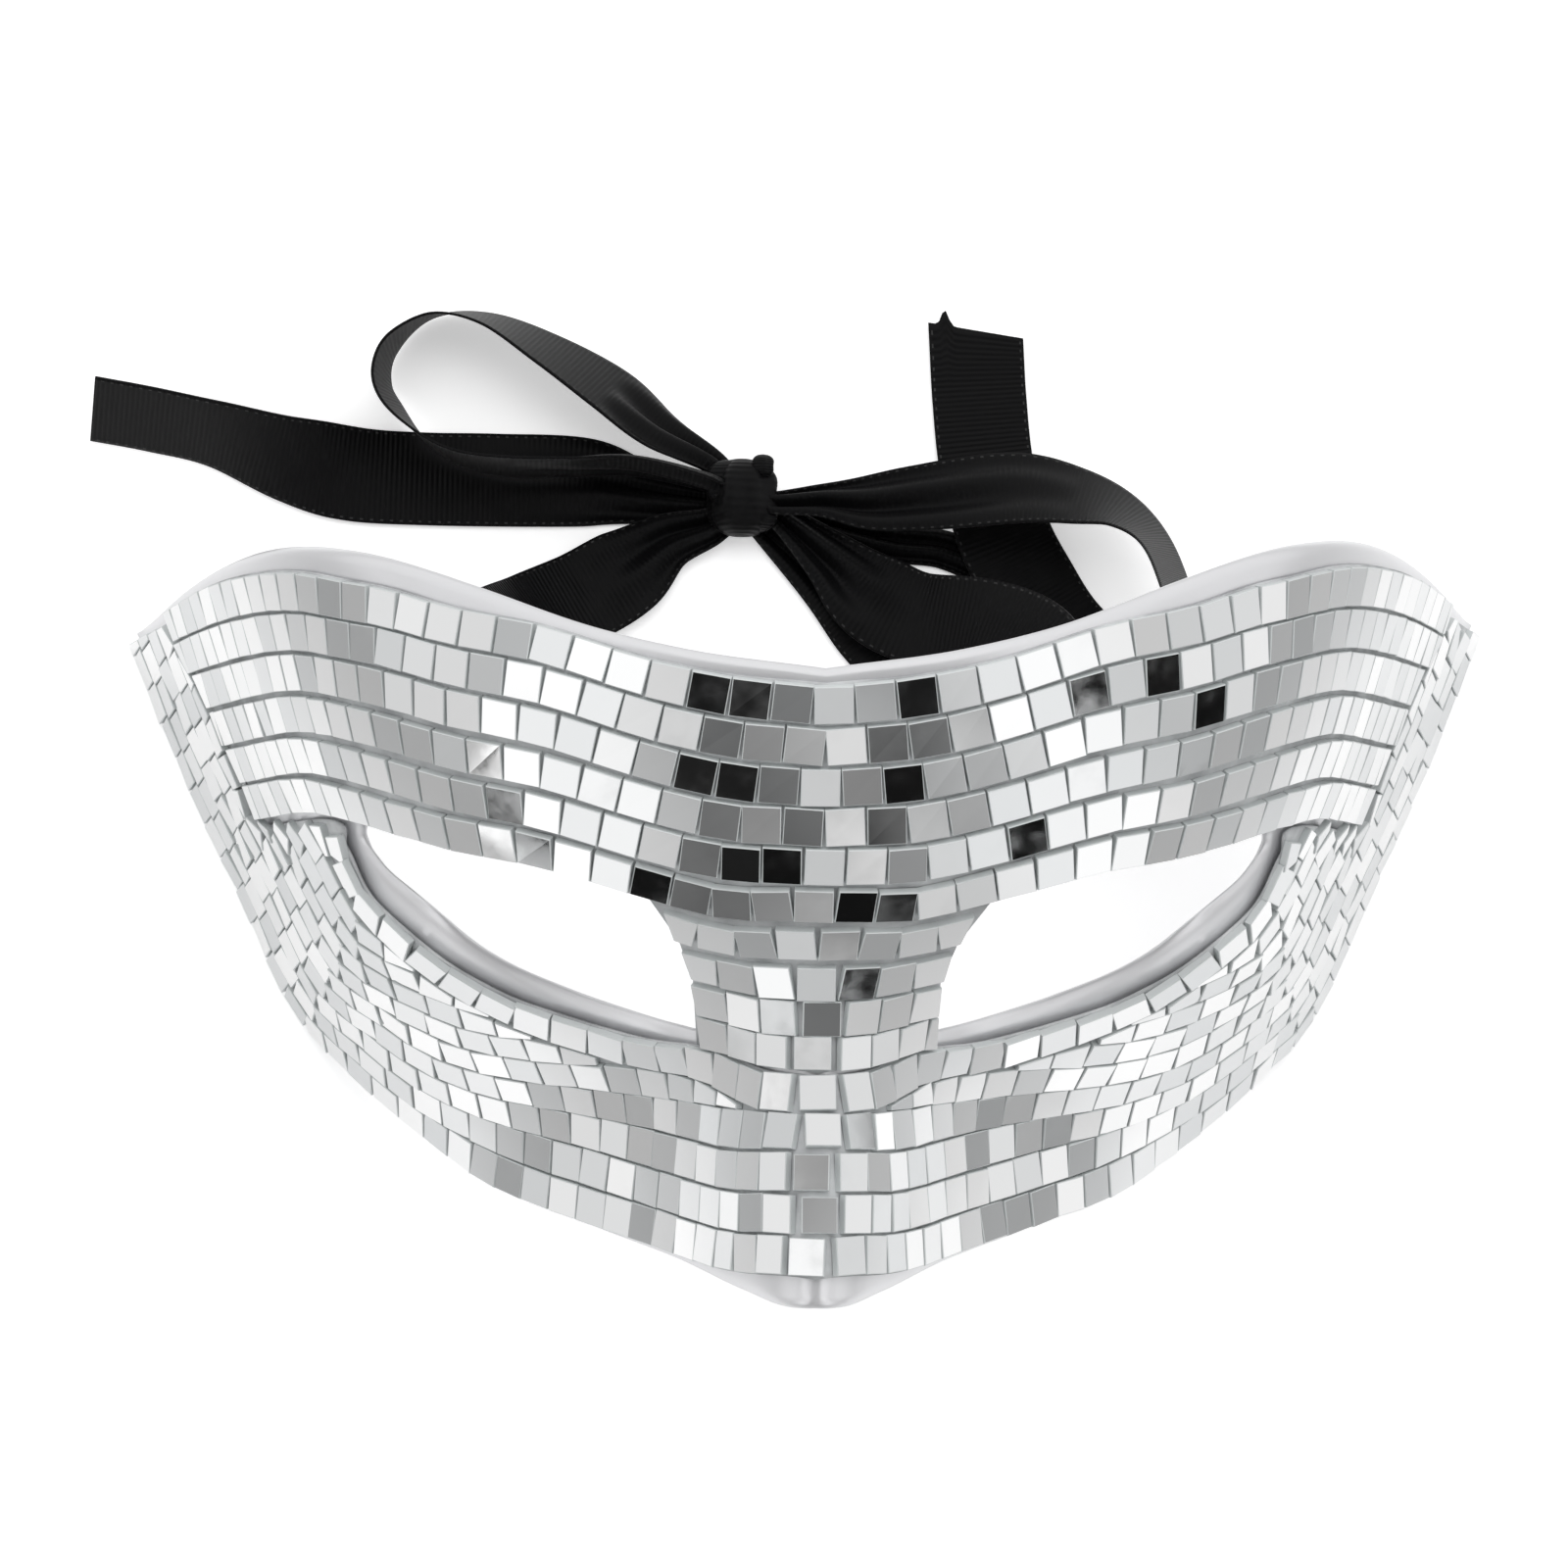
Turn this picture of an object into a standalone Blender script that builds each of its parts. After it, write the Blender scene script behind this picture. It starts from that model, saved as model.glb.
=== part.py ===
"""A disco ball mask: a moulded half mask covered with small mirror tiles, tied with two woven ribbons.

The mask lies face up on its rear edges. X runs across the face, +Y points to the forehead, +Z is up, out
of the face. Plan places are shares: 'across' of HALF_WIDTH from the middle, 'down' of LENGTH from the line
through the two temple tips towards the nose tip.
"""

import bmesh
import bpy
import numpy as np

# Mask, in metres
HALF_WIDTH = 0.0923
LENGTH = 0.102
DEPTH = 0.104
WALL = 0.002
NOSE_RISE = 0.024
NOSE_SPREAD = 0.0105
# The temple on the +X side stands this much further forward than the other one at the tips
TEMPLE_LEAN = 0.0032

# Mirror tiles
TILE = 0.005
TILE_JOINT = 0.00027
ROW_JOINT = 0.00055
TILE_THICK = 0.001
BACKING = 0.0006
GLUE_BED = 0.0009
FIELD_GAP = 0.0007
REAR_MARGIN = 0.0012
SMALLEST_CUT_TILE = 0.42
# Each tile's foot is this share of the joint between rows smaller than its cell
TILE_INSET = 0.6
MOST_CHEEK_ROWS = 8

# Ribbons
RIBBON_WIDTH = 0.013
RIBBON_THICK = 0.0009
# Height of a lying ribbon's route over the floor, so that no bend of it dips below
FLOOR_GAP = 0.0003
SEAT_GAP = 0.0004
# Room for the shell's inward curve across the width of a seated ribbon end
SEAT_SAG = RIBBON_WIDTH / 12
KNOT_WIDTH = 0.0105
KNOT_LENGTH = 0.0115
KNOT_HEIGHT = 0.0085
KNOT_ACROSS = -0.009
KNOT_BEHIND = 0.0175
LOOP_REACH = 0.05
TAIL_REACH = 0.089
RAGGED_TAIL_REACH = 0.05
TIE_SEAT_ACROSS = 0.0545
TIE_SEAT_LEFT = 0.031
TIE_SEAT_RIGHT = 0.0375

PITCH = TILE + TILE_JOINT
ROW_PITCH = TILE + ROW_JOINT

# Cross sections of the face form: down, half width (of HALF_WIDTH), vault height (of DEPTH), nose (of
# NOSE_RISE), squareness of the crown, roundness of the shoulder, share of the width taken by the wall's lean
SECTIONS = [
    (-0.032, 1.013, 1.019, 0.000, 6.0, 2.2, 0.315),
    (0.105, 0.953, 1.019, 0.000, 6.0, 2.2, 0.315),
    (0.262, 0.878, 1.000, 0.000, 6.0, 2.2, 0.315),
    (0.379, 0.818, 0.928, 0.000, 5.4, 2.2, 0.315),
    (0.497, 0.758, 0.827, 0.125, 4.2, 2.1, 0.310),
    (0.595, 0.693, 0.635, 0.458, 2.9, 2.0, 0.305),
    (0.693, 0.618, 0.510, 0.833, 2.1, 1.9, 0.300),
    (0.811, 0.580, 0.481, 1.000, 1.8, 1.8, 0.300),
    (1.010, 0.542, 0.462, 1.000, 1.8, 1.8, 0.300),
]
# Shell outline and eye hole, as pairs of places: across and down on the outer edge, then on the eye's edge
BROW_TO_EYE = [
    (0.000, 0.249, 0.245, 0.501),
    (0.184, 0.223, 0.276, 0.491),
    (0.314, 0.190, 0.330, 0.476),
    (0.488, 0.123, 0.417, 0.455),
    (0.672, 0.051, 0.515, 0.426),
    (0.813, 0.011, 0.580, 0.402),
    (0.932, -0.004, 0.618, 0.389),
    (0.9991, 0.000, 0.635, 0.385),
]
# Where the outer edge stands on the floor its 'across' is None and comes from the face form
SIDE_TO_EYE = [
    (None, 0.000, 0.635, 0.385),
    (None, 0.115, 0.638, 0.389),
    (None, 0.262, 0.635, 0.398),
    (None, 0.399, 0.618, 0.415),
    (None, 0.517, 0.580, 0.447),
    (None, 0.595, 0.515, 0.497),
    (0.563, 0.699, 0.433, 0.544),
    (0.448, 0.791, 0.336, 0.579),
    (0.330, 0.848, 0.249, 0.606),
    (0.200, 0.909, 0.195, 0.622),
    (0.108, 0.966, 0.177, 0.627),
    (0.054, 0.993, 0.170, 0.625),
    (0.000, 1.000, 0.166, 0.621),
]
NOSE_TO_EYE = [
    (0.000, 1.000, 0.166, 0.621),
    (0.000, 0.870, 0.167, 0.611),
    (0.000, 0.742, 0.171, 0.598),
    (0.000, 0.625, 0.178, 0.581),
    (0.000, 0.507, 0.193, 0.549),
    (0.000, 0.379, 0.215, 0.522),
    (0.000, 0.249, 0.245, 0.501),
]
SHELL_BANDS = (0, 0.14, 0.35, 0.56, 0.78, 1)
# Strips of each half of the shell along its brow, its side and its nose line
BROW_STRIPS = 10
SIDE_STRIPS = 18
NOSE_STRIPS = 14
# Brow tile field: across, down at its top edge, down at its lower edge over the eye
BROW_FIELD = [
    (0.000, 0.264, 0.530),
    (0.130, 0.252, 0.523),
    (0.238, 0.233, 0.498),
    (0.379, 0.191, 0.459),
    (0.524, 0.152, 0.420),
    (0.596, 0.122, 0.391),
    (0.661, 0.098, 0.359),
    (0.718, 0.074, 0.330),
    (0.790, 0.048, 0.300),
    (0.870, 0.024, 0.262),
    (0.940, 0.012, 0.220),
    (1.000, 0.010, 0.190),
]
BROW_ROWS = (0, 0.175, 0.345, 0.52, 0.69, 0.85, 1)
# Tiles between the eyes: shares of the way down to the lowest line, which lies at BRIDGE_END
BRIDGE_ROWS = (0.31, 0.65, 1)
BRIDGE_END = 0.645
BRIDGE_COLUMNS = 4
BRIDGE_SIDE = [(0.501, 0.232), (0.532, 0.196), (0.562, 0.176), (0.591, 0.166), (0.660, 0.160)]
# Cheek tile field, as pairs: across and down on the jaw edge, then on its inner edge round the eye
CHEEK_FIELD = [
    (None, 0.010, 0.935, 0.020),
    (None, 0.130, 0.872, 0.134),
    (None, 0.230, 0.823, 0.237),
    (None, 0.300, 0.789, 0.312),
    (None, 0.345, 0.672, 0.365),
    (None, 0.420, 0.652, 0.385),
    (None, 0.535, 0.607, 0.447),
    (0.652, 0.608, 0.532, 0.508),
    (0.560, 0.690, 0.444, 0.558),
    (0.460, 0.774, 0.347, 0.592),
    (0.353, 0.826, 0.238, 0.625),
    (0.219, 0.883, 0.141, 0.652),
    (0.103, 0.940, 0.065, 0.648),
    (0.000, 0.964, 0.000, 0.645),
]

# Ribbon routes from the knot. Columns: along and aside (of the piece's reach, from the knot's middle), lift
# of the lower edge (of RIBBON_WIDTH), roll in degrees, width (of RIBBON_WIDTH)
LOOP_LEFT = [
    (-0.078, 0.096, 0.16, 48, 0.40),
    (-0.230, 0.180, 0.14, 46, 0.75),
    (-0.360, 0.285, 0.10, 50, 1.00),
    (-0.530, 0.395, 0.06, 58, 1.00),
    (-0.700, 0.480, 0.03, 70, 1.00),
    (-0.850, 0.490, 0.00, 80, 1.00),
    (-0.960, 0.410, 0.00, 92, 1.00),
    (-0.990, 0.320, 0.00, 100, 1.00),
    (-0.960, 0.235, 0.10, 104, 1.00),
    (-0.880, 0.140, 0.20, 98, 1.00),
    (-0.780, 0.085, 0.14, 94, 1.00),
    (-0.640, 0.060, 0.14, 90, 1.00),
    (-0.470, 0.062, 0.14, 90, 0.95),
    (-0.300, 0.072, 0.14, 90, 0.80),
    (-0.102, 0.037, 0.14, 90, 0.55),
]
TAIL_LEFT = [
    (-0.046, 0.002, 0.00, 0, 0.45),
    (-0.150, 0.014, 0.00, 0, 0.66),
    (-0.240, 0.030, 0.00, 0, 0.95),
    (-0.380, 0.032, 0.00, 0, 1.00),
    (-0.500, 0.033, 0.00, 0, 1.00),
    (-0.600, 0.037, 0.00, -8, 1.00),
    (-0.700, 0.052, 0.00, -38, 1.00),
    (-0.810, 0.086, 0.00, -58, 1.00),
    (-0.910, 0.108, 0.00, -60, 1.00),
    (-1.000, 0.124, 0.00, -60, 1.00),
]
TAIL_RIGHT = [
    (0.104, -0.046, 0.22, 0, 0.28),
    (0.240, -0.160, 0.22, 0, 0.60),
    (0.350, -0.260, 0.22, 0, 0.95),
    (0.480, -0.328, 0.24, 0, 1.00),
    (0.660, -0.370, 0.66, 4, 1.00),
    (0.800, -0.450, 0.95, 30, 1.00),
    (0.900, -0.580, 1.20, 70, 1.00),
    (1.010, -0.700, 1.30, 90, 1.00),
    (1.140, -0.740, 1.30, 90, 1.00),
    (1.210, -0.650, 1.20, 90, 1.00),
    (1.130, -0.550, 0.90, 80, 1.00),
    (1.000, -0.470, 0.30, 35, 1.00),
    (0.880, -0.360, 0.13, 4, 1.00),
    (0.790, -0.220, 0.13, 0, 1.00),
    (0.720, -0.080, 0.12, 0, 1.00),
    (0.675, 0.110, 0.02, 0, 1.00),
    (0.655, 0.300, 0.00, 0, 1.00),
    (0.645, 0.480, 0.00, 0, 1.00),
]
LOOP_RIGHT = [
    (0.062, -0.060, 0.00, 0, 0.34),
    (0.240, -0.200, 0.00, 0, 0.75),
    (0.356, -0.310, 0.00, 0, 1.00),
    (0.460, -0.440, 0.00, 2, 1.00),
    (0.540, -0.590, 0.00, 34, 1.00),
    (0.650, -0.710, 0.00, 88, 1.00),
    (0.780, -0.690, 0.00, 90, 0.95),
    (0.850, -0.590, 0.00, 50, 0.70),
    (0.840, -0.460, 0.00, 8, 0.50),
    (0.780, -0.310, 0.00, 0, 0.45),
    (0.690, -0.190, 0.00, 0, 0.42),
    (0.560, -0.125, 0.00, 0, 0.40),
    (0.420, -0.110, 0.00, 0, 0.38),
    (0.280, -0.082, 0.10, 0, 0.32),
    (0.112, -0.028, 0.10, 0, 0.20),
]
# The ties climb from the knot to a seat inside the shell. Columns: share of the way across and forward from
# knot to seat, height above the floor (of the seat's height), roll in degrees, width (of RIBBON_WIDTH)
TIE_LEFT = [
    (0.100, 0.078, 0.024, 0, 0.40),
    (0.240, 0.125, 0.020, 0, 0.62),
    (0.370, 0.215, 0.025, 0, 0.95),
    (0.520, 0.300, 0.035, 0, 1.00),
    (0.670, 0.385, 0.130, 4, 1.00),
    (0.830, 0.520, 0.420, 25, 1.00),
    (0.950, 0.720, 0.780, 50, 1.00),
    (1.000, 0.880, 0.960, 62, 1.00),
    (1.000, 1.000, 1.000, 66, 1.00),
]
TIE_RIGHT = [
    (0.078, 0.020, 0.110, -20, 0.28),
    (0.180, 0.016, 0.100, -14, 0.38),
    (0.290, 0.020, 0.100, -10, 0.62),
    (0.410, 0.006, 0.105, -12, 0.76),
    (0.620, -0.015, 0.130, -28, 0.96),
    (0.760, 0.010, 0.150, -42, 1.00),
    (0.860, 0.060, 0.190, -55, 1.00),
    (0.930, 0.160, 0.270, -64, 1.00),
    (0.965, 0.330, 0.440, -66, 1.00),
    (0.985, 0.600, 0.760, -64, 1.00),
    (1.000, 0.850, 0.950, -64, 1.00),
    (1.000, 1.000, 1.000, -66, 1.00),
]


def curve(table, column, at):
    """Smooth curve through a table's column over its first column, without numbers outside the table's ends."""
    rows = np.array(table, float)
    x, y = rows[:, 0], rows[:, column]
    slope = np.gradient(y, x)
    at = np.clip(at, x[0], x[-1])
    i = np.clip(np.searchsorted(x, at) - 1, 0, len(x) - 2)
    step = x[i + 1] - x[i]
    t = (at - x[i]) / step
    return (
        (2 * t**3 - 3 * t**2 + 1) * y[i]
        + (t**3 - 2 * t**2 + t) * step * slope[i]
        + (3 * t**2 - 2 * t**3) * y[i + 1]
        + (t**3 - t**2) * step * slope[i + 1]
    )


def half_width(down):
    """Half the width of the face form on the floor."""
    return curve(SECTIONS, 1, down) * HALF_WIDTH


def face_height(x, y):
    """Height of the face form over the plan place x, y: an arch with leaning walls, and the nose on it."""
    down = -y / LENGTH
    vault = curve(SECTIONS, 2, down) * DEPTH
    nose = curve(SECTIONS, 3, down) * NOSE_RISE
    square, round_, lean = (curve(SECTIONS, k, down) for k in (4, 5, 6))
    wide = half_width(down)
    reach = np.abs(x) / wide
    low, high = np.zeros_like(reach), np.ones_like(reach)
    for _ in range(26):
        middle = (low + high) / 2
        arch = (1 - lean) * (1 - middle**square) ** (1 / round_) + lean * (1 - middle)
        low = np.where(arch < reach, low, middle)
        high = np.where(arch < reach, middle, high)
    outside = np.maximum(reach - 1, 0) * vault / np.maximum(lean, 1e-6)
    return vault * (low + high) / 2 - outside + nose * np.exp(-((x / NOSE_SPREAD) ** 2) / 2)


def on_face(x, y, sink=0.0):
    """Points of the face form, sunk into it square to its surface, but level where it stands on the floor."""
    x, y = np.broadcast_arrays(np.asarray(x, float), np.asarray(y, float))
    h = 2e-4
    z = face_height(x, y)
    normal = np.stack(
        [
            (face_height(x - h, y) - face_height(x + h, y)) / (2 * h),
            (face_height(x, y - h) - face_height(x, y + h)) / (2 * h),
            np.ones_like(z),
        ],
        axis=-1,
    )
    normal /= np.linalg.norm(normal, axis=-1, keepdims=True)
    way = normal * np.stack([np.ones_like(z), np.ones_like(z), np.clip(z / (4 * WALL), 0, 1)], axis=-1)
    way /= np.sum(way * normal, axis=-1, keepdims=True)
    return np.stack([x, y, z], axis=-1) - sink * way


def leaned(points):
    """The temple on the +X side stands a little further forward than the other one."""
    out = np.array(points, float)
    share = np.clip(1 + out[..., 1] / (LENGTH / 2), 0, 1)
    out[..., 1] += TEMPLE_LEAN / 2 * out[..., 0] / HALF_WIDTH * share * (3 - 2 * share) * share
    return out


def paired(table, count):
    """Plan places along a table of pairs: (outer places, inner places), count + 1 of each."""
    rows = np.array(
        [
            (half_width(down) / HALF_WIDTH if across is None else across, down, eye_x, eye_y)
            for across, down, eye_x, eye_y in table
        ]
    )
    along = np.concatenate([[0], np.cumsum(np.linalg.norm(np.diff(rows[:, :2], axis=0), axis=1))])
    keyed = np.column_stack([along, rows])
    at = np.linspace(0, along[-1], count + 1)
    places = np.stack([curve(keyed, k, at) for k in (1, 2, 3, 4)], axis=-1)
    on_floor = places[:, 1] <= max([row[1] for row in table if row[0] is None], default=-1)
    places[:, 0] = np.where(on_floor, half_width(places[:, 1]) / HALF_WIDTH, places[:, 0])
    scale = np.array([HALF_WIDTH, -LENGTH])
    return places[:, :2] * scale, places[:, 2:] * scale


def closed_slab(outer, inner, faces):
    """A bmesh of two skins that share their faces, closed along their open edges, and its outer faces."""
    keys = np.round(outer / 1e-7).astype(int)
    _, first, index = np.unique(keys, axis=0, return_index=True, return_inverse=True)
    index = index.reshape(-1)
    kept = []
    for face in faces:
        corners = list(dict.fromkeys(index[face].tolist()))
        if len(corners) > 2:
            kept.append(corners)
    bm = bmesh.new()
    top = [bm.verts.new(p) for p in leaned(outer[first])]
    bottom = [bm.verts.new(p) for p in leaned(inner[first])]
    for corners in kept:
        bm.faces.new([top[i] for i in corners])
    rim = [tuple(top.index(v) for v in edge.verts) for edge in bm.edges if len(edge.link_faces) == 1]
    skin = list(bm.faces)
    for corners in kept:
        bm.faces.new([bottom[i] for i in reversed(corners)])
    for a, b in rim:
        bm.faces.new([top[a], top[b], bottom[b], bottom[a]])
    bmesh.ops.delete(bm, geom=[v for v in bm.verts if not v.link_faces], context="VERTS")
    bmesh.ops.recalc_face_normals(bm, faces=bm.faces)
    return bm, skin


def add_object(name, bm, material):
    """Turns a bmesh into an object of the mask's collection."""
    mesh = bpy.data.meshes.new(name)
    bm.to_mesh(mesh)
    bm.free()
    mesh.materials.append(material)
    obj = bpy.data.objects.new(name, mesh)
    collection.objects.link(obj)
    return obj


def add_material(name, colour, roughness, metallic):
    """A plain Principled material."""
    material = bpy.data.materials.new(name)
    material.use_nodes = True
    shader = material.node_tree.nodes["Principled BSDF"]
    shader.inputs["Base Color"].default_value = (*colour, 1)
    shader.inputs["Roughness"].default_value = roughness
    shader.inputs["Metallic"].default_value = metallic
    return material


def grid_faces(rows, columns, offset=0, flip=False):
    """The four-sided faces of a grid of rows x columns points."""
    faces = []
    for r in range(rows - 1):
        for c in range(columns - 1):
            a = offset + r * columns + c
            face = [a, a + 1, a + columns + 1, a + columns]
            faces.append(face[::-1] if flip else face)
    return faces


def make_shell(material):
    """The moulded shell: each half is a ring of strips from the outline to the eye hole."""
    outline, hole = (
        np.concatenate(side)
        for side in zip(
            paired(BROW_TO_EYE, BROW_STRIPS), paired(SIDE_TO_EYE, SIDE_STRIPS), paired(NOSE_TO_EYE, NOSE_STRIPS)
        )
    )
    share = np.array(SHELL_BANDS)[:, None, None]
    plan = outline * (1 - share) + hole * share
    outer, inner, faces = [], [], []
    for side in (1, -1):
        faces += grid_faces(*plan.shape[:2], offset=len(faces) and plan[..., 0].size, flip=side < 0)
        for skin, sink in ((outer, GLUE_BED), (inner, GLUE_BED + WALL)):
            points = on_face(plan[..., 0], plan[..., 1], sink).reshape(-1, 3)
            middle = np.isclose(plan[..., 0], 0).reshape(-1)
            points[middle, 0] = 0
            skin.append(points * [side, 1, 1])
    bm, _ = closed_slab(np.concatenate(outer), np.concatenate(inner), faces)
    return add_object("mask_shell", bm, material)


def spaced_along(x, y, steps):
    """Plan places on the line x, y at these lengths, measured on the face form."""
    points = on_face(x, y)
    along = np.concatenate([[0], np.cumsum(np.linalg.norm(np.diff(points, axis=0), axis=1))])
    return np.interp(steps, along, x), np.interp(steps, along, y), along[-1]


def raise_tiles(name, plan, cells, material):
    """A tile field: a backing sheet on the face form, with one raised tile on each cell that isn't a sliver."""
    outer = on_face(plan[:, 0], plan[:, 1], -BACKING)
    inner = on_face(plan[:, 0], plan[:, 1])
    corners = outer[cells]
    area = np.linalg.norm(np.cross(corners[:, 2] - corners[:, 0], corners[:, 3] - corners[:, 1]), axis=1) / 2
    kept = cells[area > SMALLEST_CUT_TILE * TILE**2]
    bm, skin = closed_slab(outer, inner, kept)
    bmesh.ops.inset_individual(bm, faces=skin, thickness=TILE_INSET * ROW_JOINT, depth=TILE_THICK)
    return add_object(name, bm, material)


def make_brow_tiles(material):
    """Six rows from temple to temple over the eyes, and three short rows down between the eyes."""
    x = np.linspace(0, HALF_WIDTH, 160)
    top = -curve(BROW_FIELD, 1, x / HALF_WIDTH) * LENGTH
    lid = -curve(BROW_FIELD, 2, x / HALF_WIDTH) * LENGTH
    temple = np.array([row[2:] for row in CHEEK_FIELD[:4]]) * [HALF_WIDTH, -LENGTH]
    bridge = np.array(BRIDGE_SIDE) * [-LENGTH, HALF_WIDTH]
    lines = []
    for share in BROW_ROWS:
        y = top + (lid - top) * share
        limit = x - np.interp(-y, -temple[:, 1], temple[:, 0]) + FIELD_GAP
        end = x[np.argmax(limit > 0)] if (limit > 0).any() else x[-1]
        lines.append((x, y, end))
    for share in BRIDGE_ROWS:
        y = lid + (FIELD_GAP - BRIDGE_END * LENGTH - lid) * share
        limit = x - np.interp(-y, -bridge[:, 0], bridge[:, 1])
        lines.append((x, y, x[np.argmax(limit > 0)]))
    columns = 1 + int(max(spaced_along(x, y, 0)[2] for x, y, _ in lines[: len(BROW_ROWS)]) / PITCH)
    grid = []
    for x, y, end in lines:
        place_x, place_y, _ = spaced_along(x, y, np.arange(columns) * PITCH)
        place_y = np.where(place_x > end, np.interp(end, x, y), place_y)
        place_x = np.minimum(place_x, end)
        half = np.stack([place_x, place_y], axis=-1)
        grid.append(np.concatenate([half[:0:-1] * [-1, 1], half]))
    grid = np.array(grid)
    cells = np.array(grid_faces(*grid.shape[:2]))
    row, column = cells[:, 0] // grid.shape[1], cells[:, 0] % grid.shape[1]
    between_eyes = (column >= columns - 1 - BRIDGE_COLUMNS) & (column < columns - 1 + BRIDGE_COLUMNS)
    cells = cells[(row < len(BROW_ROWS) - 1) | between_eyes]
    return raise_tiles("mirror_tiles_brow", grid.reshape(-1, 2), cells[:, ::-1], material)


def make_cheek_tiles(material):
    """Rows that follow the rear and jaw edge from one temple tip round under the nose to the other."""
    jaw, inner_edge = paired(CHEEK_FIELD, 300)
    jaw, inner_edge = jaw[::-1], inner_edge[::-1]
    along = np.linalg.norm(np.diff(on_face(jaw[:, 0], jaw[:, 1]), axis=0), axis=1)
    along = np.concatenate([[0], np.cumsum(along)])
    steps = np.append(np.arange(0, along[-1] - PITCH / 2, PITCH), along[-1])
    columns = []
    for step in steps:
        start = [np.interp(step, along, jaw[:, k]) for k in (0, 1)]
        end = [np.interp(step, along, inner_edge[:, k]) for k in (0, 1)]
        x, y = (np.linspace(start[k], end[k], 60) for k in (0, 1))
        length = spaced_along(x, y, 0)[2]
        rows = np.minimum(REAR_MARGIN + np.arange(MOST_CHEEK_ROWS + 1) * ROW_PITCH, length)
        place_x, place_y, _ = spaced_along(x, y, rows)
        columns.append(np.stack([place_x, place_y], axis=-1))
    half = np.array(columns)
    half[0, :, 0] = 0
    grid = np.concatenate([half[:0:-1] * [-1, 1], half])
    return raise_tiles("mirror_tiles_cheeks", grid.reshape(-1, 2), np.array(grid_faces(*grid.shape[:2])), material)


def ribbon(name, centre, roll, width, material, pieces):
    """A flat woven strip along a route, turned about it by the roll, with its thickness from Solidify."""
    table = np.column_stack([np.arange(len(centre)), centre, roll, width])
    at = np.linspace(0, len(centre) - 1, pieces + 1)
    middle = np.stack([curve(table, k, at) for k in (1, 2, 3)], axis=-1)
    turn, wide = np.radians(curve(table, 4, at)), curve(table, 5, at)
    ahead = np.gradient(middle, axis=0)[:, :2]
    ahead /= np.linalg.norm(ahead, axis=1, keepdims=True)
    across = np.stack([-ahead[:, 1] * np.cos(turn), ahead[:, 0] * np.cos(turn), np.sin(turn)], axis=-1)
    half = across * wide[:, None] / 2
    edges = np.stack([middle - half, middle + half], axis=1).reshape(-1, 3)
    mesh = bpy.data.meshes.new(name)
    mesh.from_pydata(edges.tolist(), [], grid_faces(pieces + 1, 2))
    mesh.materials.append(material)
    obj = bpy.data.objects.new(name, mesh)
    collection.objects.link(obj)
    solid = obj.modifiers.new("Thickness", "SOLIDIFY")
    solid.thickness = RIBBON_THICK
    solid.offset = 0
    return obj


def lying_ribbon(name, table, reach, material, pieces):
    """A ribbon on the floor, whose route starts at the knot."""
    along, aside, lift, roll, width = np.array(table).T
    width = width * RIBBON_WIDTH
    raised = np.abs(np.sin(np.radians(roll))) * width / 2 + RIBBON_THICK / 2 + FLOOR_GAP
    centre = np.stack(
        [KNOT_ACROSS + along * reach, KNOT_BEHIND + aside * reach, lift * RIBBON_WIDTH + raised], axis=-1
    )
    return ribbon(name, centre, roll, width, material, pieces)


def tie_ribbon(name, table, seat_x, seat_y, material, pieces):
    """A tie, from the knot up to its seat on the inner face beside the eye's outer corner."""
    across, forward, height, roll, width = np.array(table).T
    sink = GLUE_BED + WALL + RIBBON_THICK / 2 + SEAT_GAP + SEAT_SAG
    seat = leaned(on_face(seat_x, seat_y, sink))
    start = np.array([KNOT_ACROSS, KNOT_BEHIND])
    centre = np.stack(
        [
            start[0] + (seat[0] - start[0]) * across,
            start[1] + (seat[1] - start[1]) * forward,
            RIBBON_THICK / 2 + (seat[2] - RIBBON_THICK / 2) * height,
        ],
        axis=-1,
    )
    return ribbon(name, centre, roll, width * RIBBON_WIDTH, material, pieces)


def make_knot(material):
    """The knot: a rounded lump that stands on the floor."""
    bm = bmesh.new()
    bmesh.ops.create_uvsphere(bm, u_segments=16, v_segments=8, radius=0.5)
    for v in bm.verts:
        v.co = (
            KNOT_ACROSS + v.co.x * KNOT_WIDTH,
            KNOT_BEHIND + v.co.y * KNOT_LENGTH,
            KNOT_HEIGHT / 2 + v.co.z * KNOT_HEIGHT,
        )
    return add_object("bow_knot", bm, material)


def set_on_origin(objects):
    """Moves everything so that the origin is under the middle of the object, on the floor."""
    bpy.context.view_layer.update()
    graph = bpy.context.evaluated_depsgraph_get()
    points = np.array([tuple(v.co) for obj in objects for v in obj.evaluated_get(graph).data.vertices])
    low, high = points.min(axis=0), points.max(axis=0)
    shift = np.array([(low[0] + high[0]) / 2, (low[1] + high[1]) / 2, low[2]])
    for obj in objects:
        for v in obj.data.vertices:
            v.co = np.array(v.co) - shift


for old in list(bpy.data.objects):
    bpy.data.objects.remove(old)
collection = bpy.data.collections.new("disco_ball_mask")
bpy.context.scene.collection.children.link(collection)

silver_plastic = add_material("silver_plastic", (0.62, 0.62, 0.64), 0.38, 0.6)
mirror_glass = add_material("mirror_glass", (0.75, 0.75, 0.77), 0.06, 1.0)
black_ribbon = add_material("black_ribbon", (0.008, 0.008, 0.009), 0.55, 0.0)

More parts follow.
